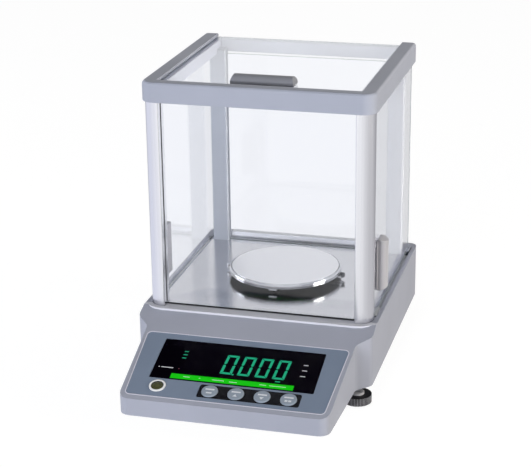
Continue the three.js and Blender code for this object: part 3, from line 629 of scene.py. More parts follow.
def moulded(name, tint, smoothest, roughest, grain=1500, relief=0.15, glow=0.0, **sockets):
    """Moulded plastic, rubber or film in one tint, which may glow."""
    if glow:
        sockets.update(Emission_Color=tint, Emission_Strength=glow)
    return material(
        name, "Moulded Grain", relief,
        inputs={
            "Colour": tint, "Shade": shaded(tint, 0.95), "Grain Scale": grain,
            "Smoothest": smoothest, "Roughest": roughest,
        },
        **sockets,
    )


def brushed(name, tint, smoothest, roughest, stretch=(1, 1, 1), lines=300, relief=0.05, depth=0.9):
    """Metal with lines drawn out along the axis whose stretch is least."""
    return material(
        name, "Brushed Lines", relief,
        inputs={
            "Colour": tint, "Shade": shaded(tint, depth), "Stretch": stretch, "Line Scale": lines,
            "Smoothest": smoothest, "Roughest": roughest,
        },
        Metallic=1.0,
    )


def dull(specular):
    """The settings of a surface with less of a sheen than plain plastic."""
    return {"Specular_IOR_Level": specular}


# The maker, tint, smoothest and roughest of each finish, and what else it sets
FINISHES = {
    "housing_plastic": (moulded, "housing", 0.42, 0.55, dull(0.25)),
    # Painted highlight: paler housing plastic for the lip and ledge top
    "ledge_plastic": (moulded, "ledge", 0.42, 0.55, dull(0.25)),
    "frame_plastic": (moulded, "frame", 0.36, 0.5, dull(0.3)),
    "rail_plastic": (moulded, "rail", 0.36, 0.5, dull(0.3)),
    # Pale plastic brightened as painted light
    "sill_plastic": (moulded, "sill", 0.36, 0.5, dull(0.3)),
    "handle_plastic": (moulded, "handle", 0.4, 0.52, dull(0.35)),
    "top_handle_plastic": (moulded, "top_handle", 0.4, 0.52, dull(0.35)),
    "panel_film": (moulded, "slate", 0.42, 0.55, {"grain": 2600, "relief": 0.1, **dull(0.25)}),
    # Painted highlight on the raised line round the panel
    "border_plastic": (moulded, "border", 0.35, 0.5, {}),
    "window_gloss": (moulded, "window", 0.08, 0.14, {"relief": 0.0, **dull(0.02)}),
    "key_plastic": (moulded, "keys", 0.4, 0.5, {}),
    "gloss_black": (moulded, "black", 0.3, 0.42, dull(0.2)),
    # Dark parts, and painted shade
    "dark_trim": (moulded, "dark", 0.4, 0.55, {}),
    "liner_plastic": (moulded, "liner", 0.4, 0.55, {}),
    "ring_plastic": (moulded, "white", 0.25, 0.35, {}),
    "knurl_plastic": (moulded, "knurl", 0.35, 0.5, {}),
    "print_ink": (moulded, "ink", 0.4, 0.5, {}),
    "moulded_rubber": (moulded, "rubber", 0.7, 0.9, {"grain": 900, "relief": 0.3}),
    "board_mask": (moulded, "board", 0.35, 0.5, {"grain": 700}),
    "bar_film": (moulded, "bar", 0.35, 0.45, {"relief": 0.0, "glow": 0.3, **dull(0.1)}),
    "segment_glow": (moulded, "digits", 0.4, 0.5, {"relief": 0.0, "glow": 0.4, **dull(0.1)}),
    "dot_glow": (moulded, "dot", 0.4, 0.5, {"relief": 0.0, "glow": 0.3}),
    "level_liquid": (moulded, "level", 0.1, 0.16, {"relief": 0.0, **dull(0.3)}),
    "pane_edge": (moulded, "glass_edge", 0.2, 0.3, {"relief": 0.0, "Transmission_Weight": 0.4}),
    # Painted light and painted shade: lighter and darker copies of the pillars' anodised aluminium for the
    # two rear pillars
    "rear_right_anodised": (moulded, "rear_right", 0.4, 0.5, {"Metallic": 0.35}),
    "rear_left_anodised": (moulded, "rear_left", 0.4, 0.5, {"Metallic": 0.35}),
    "pillar_anodised": (brushed, "aluminium", 0.2, 0.28, {"stretch": (1, 1, 0.01), "lines": 600}),
    "floor_stainless": (brushed, "floor", 0.12, 0.2, {
        "stretch": (0.02, 1, 1), "lines": 600, "relief": 0.12, "depth": 0.96,
    }),
    "pan_satin": (brushed, "pan", 0.4, 0.52, {"stretch": (1, 0.3, 1), "depth": 0.96}),
    # Painted reflection: the deep Shade of its lines gives light and dark bands round the rim, standing in
    # for the room it reflects
    "pan_chrome": (brushed, "chrome", 0.04, 0.12, {
        "stretch": (0.04, 0.04, 1), "lines": 900, "relief": 0.1, "depth": 0.35,
    }),
    # Dull steel, and painted shade
    "pan_dull": (brushed, "shade", 0.4, 0.5, {}),
    "zinc_plate": (brushed, "zinc", 0.35, 0.5, {}),
    "contact_metal": (brushed, "copper", 0.2, 0.3, {}),
}


def pane_glass():
    """Clear glass that lets lamp light through to what is behind it."""
    name = "pane_glass"
    known = bpy.data.materials.get(name)
    if known:
        return known
    made = material(
        name, Base_Color=colours().glass, Roughness=0.0, Transmission_Weight=1.0, IOR=1.4
    )
    tree = made.node_tree
    rays = add_node(tree, "ShaderNodeLightPath")
    clear = add_node(tree, "ShaderNodeBsdfTransparent")
    clear.inputs["Color"].default_value = colours().glass
    mix = add_node(tree, "ShaderNodeMixShader")
    for source, target in (
        (rays.outputs["Is Shadow Ray"], mix.inputs["Fac"]),
        (tree.nodes["Principled BSDF"].outputs["BSDF"], mix.inputs[1]),
        (clear.outputs["BSDF"], mix.inputs[2]),
        (mix.outputs["Shader"], tree.nodes["Material Output"].inputs["Surface"]),
    ):
        tree.links.new(source, target)
    return made


def surface(look):
    """The material of a name, made when it is first asked for."""
    if look == "pane_glass":
        return pane_glass()
    maker, tint, smoothest, roughest, settings = FINISHES[look]
    return maker(look, getattr(colours(), tint), smoothest, roughest, **settings)


# The console's slope


def slope_axes():
    """The slope's own axes: x across, y up the slope, z out of it, from the panel's upper edge."""
    mesh = frame["nodes"]["control_panel"].data
    normal = max((f for f in mesh.polygons if f.normal.z > 0.5), key=lambda f: f.area).normal.copy()
    up = Vector((0, normal.z, -normal.y))
    points = [v.co for v in mesh.vertices]
    lift = max(p.dot(normal) for p in points)
    edge = max(p.dot(up) for p in points)
    place = normal * lift + up * edge
    return Matrix((
        (1, 0, 0, 0),
        (0, up.y, normal.y, place.y),
        (0, up.z, normal.z, place.z),
        (0, 0, 0, 1),
    ))


SLOPE = slope_axes()


def lay_on_slope(piece):
    """Takes a piece modelled flat, with y up the slope, to its place on the console."""
    piece.matrix_world = SLOPE
    return apply_place(piece)


def on_slope(node):
    """The middle and half extents of a frame node in the slope's own axes."""
    flat = SLOPE.inverted()
    points = [flat @ v.co for v in frame["nodes"][node].data.vertices]
    low = Vector([min(p[i] for p in points) for i in range(3)])
    high = Vector([max(p[i] for p in points) for i in range(3)])
    return (low + high) / 2, (high - low) / 2


def marks(name, outlines, low, look):
    """Printed or lit shapes on the panel, as one flat piece with one finish."""
    high = low + sizes().print_height
    pieces = [plate(f"{name}_{i}", outline, low, high) for i, outline in enumerate(outlines)]
    return finish(joined(name, pieces), look)


def in_mm(points):
    return [(x * MM, y * MM) for x, y in points]


# The studio


FLOOR_TINT = (0.16, 0.16, 0.163, 1)
AIR_TINT = (0.97, 0.98, 1.0, 1)
LAMP_TARGET = (0, 0.05, 0.15)
# Each lamp's place, size, power and tint
LAMPS = {
    "front_softbox": ((-0.5, -2.4, 0.22), 1.1, 72, (0.96, 0.98, 1.0)),
    "right_softbox": ((2.4, -0.1, 0.5), 1.1, 54, (1.0, 0.955, 0.84)),
    "left_softbox": ((-2.3, 0.1, 0.6), 1.1, 12, (0.98, 0.99, 1.0)),
}


def seen_rays(tree):
    """A socket that is one for the rays that the camera, glass and shiny metal look along."""
    rays = add_node(tree, "ShaderNodeLightPath")
    first = calculate(tree, "MAXIMUM", rays.outputs["Is Camera Ray"], rays.outputs["Is Glossy Ray"])
    return calculate(tree, "MAXIMUM", first, rays.outputs["Is Transmission Ray"])


def seen_colour(tree, direction, back):
    """White for the camera, and the studio's sides for what gloss shows."""
    rays = add_node(tree, "ShaderNodeLightPath")
    surround = add_node(tree, "ShaderNodeGroup", node_tree=shared_group("Studio Surround"))
    surround.inputs["Back"].default_value = back
    mix = add_node(tree, "ShaderNodeMix", data_type="RGBA")
    tree.links.new(direction, surround.inputs["Direction"])
    through = calculate(tree, "SUBTRACT", 1.0, rays.outputs["Is Transmission Ray"])
    gloss = calculate(tree, "MULTIPLY", rays.outputs["Is Glossy Ray"], through)
    tree.links.new(gloss, mix.inputs["Factor"])
    mix.inputs["A"].default_value = (1, 1, 1, 1)
    tree.links.new(surround.outputs["Colour"], mix.inputs["B"])
    return mix.outputs["Result"]


# Operators


class BALANCE_OT_stage(bpy.types.Operator):
    """Set up the floor, the lamps, the backdrop light and the camera"""

    bl_idname = "balance.stage"
    bl_label = "Stage"

    def execute(self, context):
        scene = context.scene
        scene.view_settings.view_transform = "Standard"
        self.make_floor(scene.balance_stage)
        self.make_world(scene)
        self.make_lamps()
        self.make_camera(scene)
        return {"FINISHED"}

    def make_floor(self, stage):
        bpy.ops.mesh.primitive_plane_add(size=stage.floor_size, location=(0, 0, 0))
        floor = named("stage_floor")
        made = material("stage_floor", Base_Color=FLOOR_TINT, Roughness=0.9, Specular_IOR_Level=0.0)
        tree = made.node_tree
        shader = tree.nodes["Principled BSDF"]
        glow = add_node(tree, "ShaderNodeEmission")
        both = add_node(tree, "ShaderNodeAddShader")
        place = add_node(tree, "ShaderNodeTexCoord")
        tree.links.new(seen_colour(tree, place.outputs["Object"], stage.back_floor), glow.inputs["Color"])
        strength = calculate(tree, "MULTIPLY", seen_rays(tree), stage.floor_glow)
        tree.links.new(strength, glow.inputs["Strength"])
        tree.links.new(shader.outputs["BSDF"], both.inputs[0])
        tree.links.new(glow.outputs["Emission"], both.inputs[1])
        tree.links.new(both.outputs["Shader"], tree.nodes["Material Output"].inputs["Surface"])
        floor.data.materials.append(made)

    def make_world(self, scene):
        world = bpy.data.worlds.new("stage_world")
        world.use_nodes = True
        scene.world = world
        tree = world.node_tree
        plain = tree.nodes["Background"]
        plain.inputs["Color"].default_value = AIR_TINT
        plain.inputs["Strength"].default_value = scene.balance_stage.ambient
        seen = add_node(tree, "ShaderNodeBackground")
        place = add_node(tree, "ShaderNodeTexCoord")
        room = seen_colour(tree, place.outputs["Generated"], scene.balance_stage.back)
        tree.links.new(room, seen.inputs["Color"])
        mix = add_node(tree, "ShaderNodeMixShader")
        tree.links.new(seen_rays(tree), mix.inputs["Fac"])
        tree.links.new(plain.outputs["Background"], mix.inputs[1])
        tree.links.new(seen.outputs["Background"], mix.inputs[2])
        tree.links.new(mix.outputs["Shader"], tree.nodes["World Output"].inputs["Surface"])

    def make_lamps(self):
        target = Vector(LAMP_TARGET)
        for name, (place, size, power, tint) in LAMPS.items():
            bpy.ops.object.light_add(type="AREA", location=place)
            lamp = bpy.context.active_object
            lamp.name = lamp.data.name = name
            lamp.data.size = size
            lamp.data.energy = power
            lamp.data.color = tint
            lamp.visible_glossy = False
            lamp.visible_transmission = name != "front_softbox"
            lamp.rotation_euler = (target - Vector(place)).to_track_quat("-Z", "Y").to_euler()

    def make_camera(self, scene):
        stage = scene.balance_stage
        az, el, roll = stage.azimuth, stage.elevation, stage.roll
        back = Vector((sin(az) * cos(el), -cos(az) * cos(el), sin(el)))
        level = Vector((cos(az), sin(az), 0))
        rise = back.cross(level)
        right = level * cos(roll) + rise * sin(roll)
        up = rise * cos(roll) - level * sin(roll)
        camera = bpy.data.objects.new("camera", bpy.data.cameras.new("camera"))
        scene.collection.objects.link(camera)
        camera.data.sensor_width = stage.sensor
        camera.data.sensor_fit = "HORIZONTAL"
        camera.data.lens = stage.lens
        camera.data.clip_end = 2 * stage.floor_size
        turn = Matrix((right, up, back)).transposed().to_4x4()
        camera.matrix_world = Matrix.Translation(Vector(stage.eye)) @ turn
        scene.camera = camera


class BALANCE_OT_housing(bpy.types.Operator):
    """Model the moulded housing with its rounded edges, and the liners of the door tracks"""

    bl_idname = "balance.housing"
    bl_label = "Housing"

    def execute(self, context):
        self.make_shell()
        for name in SIDES:
            self.make_track(name)
        return {"FINISHED"}

    def make_shell(self):
        shell = copy_of("upper_housing", "housing_shell")
        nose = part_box("upper_housing")[0].y + 12 * MM
        with editing(shell, "EDGE"):
            pick("edges", lambda edge: (
                len(edge.link_faces) == 2 and all(v.co.y < nose for v in edge.verts)
                and max(f.normal.z for f in edge.link_faces) > 0.9
                and abs(min(f.normal.z for f in edge.link_faces)) < 0.4
            ))
            bpy.ops.mesh.bevel(offset=sizes().console_edge, segments=6, affect="EDGES", clamp_overlap=True)
        round_edges(shell, sizes().housing_edge)
        track, shoe_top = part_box("right_door_shoe")
        pillar_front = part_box("front_left_pillar")[0].y
        platform, skin = shoe_top.z, 0.1 * MM
        strip = pillar_front + 6 * MM
        web = track.x - 0.8 * MM
        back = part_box("right_door_stop")[1].y + MM
        lines = (((0, strip, 0), "y"), ((0, back, 0), "y"), ((web, 0, 0), "x"), ((-web, 0, 0), "x"))
        with editing(shell):
            for place, axis in lines:
                pick("faces", lambda face: (
                    face.normal.z > 0.97 and face.calc_center_median().z > platform - skin
                ))
                bpy.ops.mesh.bisect(plane_co=place, plane_no=AXES[axis])
        looks = ("housing_plastic", "ledge_plastic")
        dress(smooth(shell), "housing", "housing_grey", *looks, replaces=["upper_housing"])
        # Painted highlight: the lip before the pillars and the platform's top before the strip take the
        # paler ledge plastic, standing in for light caught by the bevel
        ledge = pillar_front - 0.9 * MM
        paint(shell, 1, lambda face: (
            face.center.y < ledge and platform - 2 * MM < face.center.z < platform and face.normal.z < 0.97
            or face.center.y < strip and face.center.z > platform - skin
        ))

    def make_track(self, name):
        """The liner of a side door's track, the stop at its end and the door's glide shoe."""
        low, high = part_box(f"{name}_door_shoe")
        stop_low, stop_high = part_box(f"{name}_door_stop")
        margin = 0.1 * MM
        liner = block(
            f"{name}_track_liner",
            (low.x - margin, low.y - 3.8 * MM, low.z - 1.0 * MM + 0.02 * MM),
            (high.x + margin, stop_low.y - margin, low.z - 4 * margin),
        )
        # Painted light: the left liner lies in shade and takes the near-white sill plastic, a lighter copy
        # of the right liner's grey
        look = "liner_plastic" if name == "right" else "sill_plastic"
        settle(liner, "housing", "black_plastic", look, width=margin, steps=1)
        looks = ("housing_plastic", "dark_trim")
        stop = replica(f"{name}_door_stop", f"{name}_stop_block", "housing", "black_plastic", *looks)
        # Painted shade: the stop block's faces more than 1.2 mm below its top, in its slot and lower down,
        # take the dark trim
        paint(stop, 1, lambda face: face.center.z < stop_high.z - 1.2 * MM)
        replica(f"{name}_door_shoe", f"{name}_glide_shoe", f"{name}_door", "black_plastic", "liner_plastic")


class BALANCE_OT_top_frame(bpy.types.Operator):
    """Model the shield's top frame, rear rail and rear sill"""

    bl_idname = "balance.top_frame"
    bl_label = "Top Frame"

    def execute(self, context):
        # The rear sill's near-white plastic is partly painted light against the pan's shadow
        for node, look in (
            ("top_frame", "frame_plastic"), ("rear_rail", "rail_plastic"), ("rear_sill", "sill_plastic"),
        ):
            piece = copy_of(node, f"shield_{node}")
            if node == "top_frame":
                self.round_tips(piece)
            settle(piece, "housing", "frame_grey", look, width=sizes().frame_edge, steps=3, node=node)
        return {"FINISHED"}

    def round_tips(self, piece):
        """Rounds the rear ends of the two side rails at their top."""
        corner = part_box("top_frame")[1] - Vector((0, 0.3, 0.3)) * MM
        with editing(piece, "EDGE"):
            pick("edges", lambda edge: all(v.co.y > corner.y and v.co.z > corner.z for v in edge.verts))
            bpy.ops.mesh.bevel(offset=sizes().rail_tip, segments=6, affect="EDGES", clamp_overlap=True)


class BALANCE_OT_pillars(bpy.types.Operator):
    """Model the four extruded pillars"""

    bl_idname = "balance.pillars"
    bl_label = "Pillars"

    def execute(self, context):
        for place in ("front_right", "front_left", "rear_right", "rear_left"):
            # The rear pillars take painted light and painted shade: their own lighter and darker copies of
            # the anodised aluminium
            look = f"{place}_anodised" if place.startswith("rear") else "pillar_anodised"
            replica(f"{place}_pillar", f"{place}_extrusion", "housing", "pillar_aluminium", look)
        return {"FINISHED"}


class BALANCE_OT_panes(bpy.types.Operator):
    """Model the glass panes with their ground edges, and the gasket under the front pane"""

    bl_idname = "balance.panes"
    bl_label = "Glass Panes"

    def execute(self, context):
        for name in ("front", "rear"):
            self.make_pane(f"{name}_glass", f"{name}_pane", "housing")
        for name in ("top", "right", "left"):
            self.make_pane(f"{name}_door", f"{name}_pane", f"{name}_door")
        self.make_gasket()
        # Painted shade: a dark strip on each front pillar's inner face
        for name, side in SIDES.items():
            self.make_seal(side, name)
        return {"FINISHED"}

    def make_pane(self, node, name, body):
        piece = copy_of(node, name)
        round_edges(piece, sizes().glass_edge, 1)
        dress(piece, body, "shield_glass", "pane_glass", "pane_edge", replaces=[node])
        low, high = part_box(node)
        thin = min(range(3), key=lambda i: high[i] - low[i])
        paint(piece, 1, lambda face: abs(face.normal[thin]) < 0.9)

    def make_gasket(self):
        low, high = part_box("front_glass")
        gasket = block(
            "front_gasket",
            (low.x + 2.8 * MM, low.y - 1.3 * MM, low.z - 0.25 * MM),
            (high.x - 2.8 * MM, low.y - 0.1 * MM, low.z + 0.9 * MM),
        )
        with editing(gasket, "EDGE"):
            pick("edges", lambda edge: abs((edge.verts[0].co - edge.verts[1].co).x) > MM)
            bpy.ops.mesh.subdivide(number_cuts=36)
            end = 4 * MM
            pick("verts", lambda vertex: (
                low.x + end < vertex.co.x < high.x - end and vertex.co.z > low.z
            ))
            bpy.ops.transform.vertex_random(offset=0.22 * MM, uniform=0.0, seed=4)
        round_edges(gasket, 0.2 * MM, 2)
        dress(smooth(gasket, radians(50)), "housing", "foot_rubber", "moulded_rubber")

    def make_seal(self, side, name):
        """A dark strip on a front pillar's inner face, before the slot of the pane: painted shade where
        that face lies in shade.
        """
        low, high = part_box(f"front_{name}_pillar")
        pane_low, pane_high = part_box("front_glass")
        inner = low.x if side > 0 else high.x
        near, far = sorted((inner - side * 0.35 * MM, inner + side * 0.2 * MM))
        shade_strip = block(
            f"{name}_seal",
            (near, pane_low.y - 0.8 * MM, pane_low.z),
            (far, pane_low.y - 0.15 * MM, pane_high.z),
        )
        settle(shade_strip, "housing", "foot_rubber", "dark_trim", width=0.12 * MM)


class BALANCE_OT_handles(bpy.types.Operator):
    """Model the top door's handle, and the grips outside and inside each side door"""

    bl_idname = "balance.handles"
    bl_label = "Door Handles"

    def execute(self, context):
        self.make_grip("top_door_handle", "top_grip", "top_door", "z", 1, "top_handle_plastic")
        reach, shift = sizes().pad_reach, sizes().pad_shift
        for name, side in SIDES.items():
            door = f"{name}_door"
            self.make_grip(f"{door}_handle", f"{name}_grip", door, "x", side, "handle_plastic")
            low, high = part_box(f"{door}_inner_grip")
            if side > 0:
                low.x -= reach
            else:
                high.x += reach
            low.y -= shift
            high.y -= shift
            pad = block(f"{name}_inner_pad", low, high)
            # Painted light: the right pad, in the pillar's shade, takes the lighter side-handle tint; the
            # left one the darker top-handle tint
            look = "handle_plastic" if side > 0 else "top_handle_plastic"
            settle(pad, door, "handle_grey", look, width=0.9 * MM, steps=3, node=f"{door}_inner_grip")
        return {"FINISHED"}

    def make_grip(self, node, name, body, proud, way, look):
        """A half-round bar along x, flat below, whose ends lean in, turned to stand out of its door."""
        low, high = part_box(node)
        turn = Matrix()
        if proud == "x":
            turn = Matrix.Rotation(0 if way > 0 else pi, 4, "Z") @ Matrix.Rotation(pi / 2, 4, "Y")
        half = (high.y - low.y) / 2
        along = "z" if proud == "x" else "x"
        reach = (getattr(high, along) - getattr(low, along)) / 2
        rise = getattr(high, proud) - getattr(low, proud)
        flank = rise / 3
        foot = Vector(middle(node))
        setattr(foot, proud, getattr(low if way > 0 else high, proud))
        section = [(half, 0)] + [
            (half * cos(pi * i / 28), flank + (rise - flank) * sin(pi * i / 28)) for i in range(29)
        ] + [(-half, 0)]
        grip = traced(name, [(-reach, y, z) for y, z in section])
        with editing(grip, "VERT", "SELECT"):
            bpy.ops.mesh.edge_face_add()
            bpy.ops.mesh.extrude_region_move(TRANSFORM_OT_translate={"value": (2 * reach, 0, 0)})
            for end in (-1, 1):
                bpy.ops.mesh.select_all(action="SELECT")
                lean = Vector((end * (rise - flank), 0, 2 * MM)).normalized()
                bpy.ops.mesh.bisect(
                    plane_co=(end * reach, 0, flank), plane_no=lean, use_fill=True, clear_outer=True
                )
            close_up()
        grip.matrix_world = Matrix.Translation(foot) @ turn
        apply_place(grip)
        round_edges(grip, 0.5 * MM)
        if proud == "x":
            base = foot.x + way * 1.1 * MM
            inset = 1.5 * MM
            flange = block(
                "flange", (min(foot.x, base), low.y - 2.4 * MM, low.z + inset),
                (max(foot.x, base), low.y + MM, high.z - inset),
            )
            round_edges(flange, sizes().fine_edge, 2)
            grip = joined(name, [grip, flange])
        dress(smooth(grip), body, "handle_grey", look, replaces=[node])


# Where the marks lie on the slope in millimetres: digits and dot by their centre, rectangles by their
# left, right, lower and upper sides, and dashes by their left end, middle height and length
DIGITS = 4
FIRST_DIGIT = (-7.4, -35.3)
POINT = (-2.3, -0.6, -48.8, -47.2)
STABLE_MARK = (38.7, 43.3, -51.8, -50.6)
SMALL_MARKS = (-23.3, -27.8, -32.3)
BAR = (-57, 57, -60.6, -54.3)
DOT = (-52.3, -47.4)
WINDOW_DASHES = (
    (59.3, -26.0, 4.2), (59.3, -33.3, 4.6), (59.3, -41.0, 4.6), (-71.7, -47.0, 1.2), (-69.0, -47.0, 11.2),
)
BAR_DASHES = (
    (-45, -57.3, 6), (-30.5, -57.3, 1.4), (-18, -57.6, 11), (-2, -58, 7), (26, -57.5, 6), (35, -57.5, 15),
)


class BALANCE_OT_display(bpy.types.Operator):
    """Model the control panel, its window and the lit readout"""

    bl_idname = "balance.display"
    bl_label = "Display"

    def execute(self, context):
        for node, name, slot, look in (
            ("control_panel", "panel_overlay", "slate_panel", "panel_film"),
            ("display_window", "window_plate", "window_black", "window_gloss"),
            ("keypad_strip", "key_strip", "black_plastic", "gloss_black"),
        ):
            replica(node, name, "housing", slot, look, width=0.12 * MM)
        self.make_border()
        self.make_readout()
        return {"FINISHED"}

    def make_border(self):
        """A thin raised line round the overlay, lapping its edge, whose pale tint is a painted highlight
        standing in for light on the bevel round the panel's recess.
        """
        flat = SLOPE.inverted()
        points = [tuple((flat @ v.co).xy) for v in frame["nodes"]["control_panel"].data.vertices]
        size = sizes()
        centre, half = on_slope("control_panel")
        grow_x, grow_y = 1 + size.border_out / half.x, 1 + size.border_out / half.y
        border = traced("panel_border", [
            (centre.x + (x - centre.x) * grow_x, centre.y + (y - centre.y) * grow_y, LIFT)
            for x, y in (points[i] for i in convex_hull_2d(points))
        ])
        with editing(border, "VERT", "SELECT"):
            bpy.ops.mesh.remove_doubles(threshold=size.border_out)
            bpy.ops.mesh.edge_face_add()
            bpy.ops.mesh.normals_make_consistent(inside=False)
            bpy.ops.mesh.select_mode(type="FACE")
            bpy.ops.mesh.select_all(action="SELECT")
            bpy.ops.mesh.inset(thickness=size.border_in + size.border_out)
            bpy.ops.mesh.delete(type="FACE")
            bpy.ops.mesh.select_all(action="SELECT")
            raise_by(size.border_height)
        lay_on_slope(border)
        settle(border, "housing", "housing_grey", "border_plastic", width=0.1 * MM)

    def make_readout(self):
        size = sizes()
        centre, half = on_slope("display_window")
        low = centre.z + half.z + LIFT
        first_x, first_y = FIRST_DIGIT
        digits = []
        for i in range(DIGITS):
            digits += self.zero(first_x * MM + i * size.digit_pitch, first_y * MM)
        digits += [in_mm(rectangle(*mark)) for mark in (POINT, STABLE_MARK)]
        for y in SMALL_MARKS:
            digits.append(in_mm([(-53.8, y - 0.5), (-50.0, y - 0.5), (-49.6, y + 0.5), (-53.4, y + 0.5)]))
        bar = [in_mm(rectangle(*BAR))]
        for name, outlines, look in (
            ("readout_segments", digits, "segment_glow"), ("readout_bar", bar, "bar_film"),
        ):
            dress(lay_on_slope(marks(name, outlines, low, look)), "housing", "window_black")
        printed = marks("window_print", self.dashes(0.45, WINDOW_DASHES), low, "print_ink")
        bar_top = low + size.print_height + LIFT
        fine = marks("bar_print", self.dashes(0.28, BAR_DASHES), bar_top, "print_ink")
        dress(lay_on_slope(joined("window_print", [printed, fine])), "housing", "window_black")
        place = (*in_mm([DOT])[0], low)
        dot = turned("power_dot", in_mm([(0, 0.07), (0.5, 0.05), (0.6, 0), (0, 0)]), place, 24)
        dress(smooth(lay_on_slope(finish(dot, "dot_glow"))), "housing", "window_black")

    def dashes(self, half, places):
        """Plain strokes with a half width, all in millimetres."""
        return [in_mm(rectangle(x, x + wide, y - half, y + half)) for x, y, wide in places]

    def zero(self, x, y):
        """The six lit segments of a leaning nought about a centre, mitred at the corners."""
        size = sizes()
        wide = size.segment_width
        side, end = size.digit_width / 2, size.digit_height / 2
        gap = 0.3 * MM
        outlines = []
        for way in (-1, 1):
            outlines.append([
                (-side + gap, way * end), (side - gap, way * end),
                (side - gap - wide, way * (end - wide)), (-side + gap + wide, way * (end - wide)),
            ])
            for flank in (-1, 1):
                outlines.append([
                    (flank * side, way * (end - gap)), (flank * (side - wide), way * (end - gap - wide)),
                    (flank * (side - wide), way * (gap + wide / 2)), (flank * (side - wide / 2), way * gap),
                    (flank * side, way * (gap + wide / 3)),
                ])
        return [[(x + px + size.digit_lean * py, y + py) for px, py in outline] for outline in outlines]


class BALANCE_OT_keys(bpy.types.Operator):
    """Model the four keys with their printed marks, and the switches under them"""

    bl_idname = "balance.keys"
    bl_label = "Keys"

    def execute(self, context):
        triangle = [(-2.0, -1.3), (2.0, -1.3), (0, 1.7)]
        symbols = (
            [rectangle(-2.6, 2.6, -3.7, -2.1)],
            [[(x, y - 2.9) for x, y in triangle]],
            [[(-x, -2.7 - y) for x, y in triangle]],
            [rectangle(-3.0, -0.4, -3.9, -1.7), rectangle(0.4, 3.0, -3.9, -1.7)],
        )
        for i, symbol in enumerate(symbols, 1):
            self.make_key(f"key_{i}", f"key_cap_{i}", [rectangle(-4.2, 4.2, 0.8, 2.5)] + symbol)
            repaint("zinc_plate", f"key_switch_{i}")
        return {"FINISHED"}

    def make_key(self, node, name, symbol):
        centre, half = on_slope(node)
        top, bottom = centre.z + half.z, centre.z - half.z
        flange = half.x
        radius = flange - 1.0 * MM
        roll = 0.6 * MM
        seat = -1.9 * MM
        foot = seat - 1.2 * MM
        cap = turned(
            name,
            [(0, top), (radius - 1.1 * MM, top - 0.03 * MM)]
            + arc((radius - roll, top - 0.65 * MM), roll, pi / 2, 0, 6)
            + [(radius, seat), (flange, seat), (flange, foot), (radius / 2, foot)]
            + [(radius / 2, bottom), (0, bottom)],
            (centre.x, centre.y, 0), 72,
        )
        finish(cap, "key_plastic")
        printed = marks(f"{name}_marks", [
            [(centre.x + x * MM, centre.y + y * MM) for x, y in outline] for outline in symbol
        ], top + 0.005 * MM, "print_ink")
        piece = smooth(lay_on_slope(joined(name, [cap, printed])))
        dress(piece, node, "key_grey", replaces=[node])


class BALANCE_OT_level(bpy.types.Operator):
    """Model the bubble level: its ring, its liquid, its circle and its bubble"""

    bl_idname = "balance.level"
    bl_label = "Bubble Level"

    def execute(self, context):
        centre, half = on_slope("level_case")
        place = (centre.x, centre.y, 0)
        top, base, radius = centre.z + half.z, centre.z - half.z, half.x
        well = on_slope("level_vial")[1].x + 0.3 * MM
        floor = top - 3.3 * MM
        outer, inner = 0.4 * MM, 0.3 * MM
        ring = turned(
            "level_ring",
            [(0, base), (radius, base), (radius, top - outer)]
            + arc((radius - outer, top - outer), outer, 0, pi / 2, 5)
            + arc((well + inner, top - inner), inner, pi / 2, pi, 5)
            + [(well, floor), (0, floor)],
            place, 72,
        )
        lay_on_slope(ring)
        looks = ("ring_plastic", "dark_trim")
        dress(smooth(ring), "housing", "white_plastic", *looks, replaces=["level_case"])
        flat = SLOPE.inverted()
        axis = Vector((centre.x, centre.y))
        # Painted shade: the wall and floor of the ring's hollow take the dark trim
        paint(ring, 1, lambda face: (
            ((flat @ face.center).xy - axis).length < well + 0.02 * MM
            and (flat @ face.center).z > floor - 0.5 * MM
        ))
        self.make_vial(place)
        return {"FINISHED"}

    def make_vial(self, place):
        centre, half = on_slope("level_vial")
        top, base, reach = centre.z + half.z, centre.z - half.z, half.x
        x, y, _ = place
        pieces = []
        for name, profile, spot, steps, look in (
            ("vial_body", [(0, base), (reach, base), (reach, top - 0.7 * MM)] + [
                (reach * part, top - 0.7 * MM * part ** 2) for part in (0.9, 0.7, 0.5, 0.3, 0.0)
            ], place, 72, "level_liquid"),
            ("vial_circle", [
                (2.7 * MM, top - 0.3 * MM), (2.95 * MM, top - 0.3 * MM), (2.95 * MM, top - 0.14 * MM),
                (2.7 * MM, top - 0.14 * MM), (2.7 * MM, top - 0.3 * MM),
            ], place, 48, "gloss_black"),
            ("vial_bubble", [(0, top - 0.2 * MM), (1.7 * MM, top - 0.2 * MM)]
                + arc((1.4 * MM, top - 0.1 * MM), 0.3 * MM, 0, pi / 2, 4) + [(0, top + 0.25 * MM)],
                (x + 0.5 * MM, y + 0.7 * MM, 0), 36, "level_liquid"),
        ):
            pieces.append(finish(turned(name, profile, spot, steps), look))
        piece = smooth(lay_on_slope(joined("level_liquid_body", pieces)))
        dress(piece, "housing", "vial_liquid", replaces=["level_vial"])


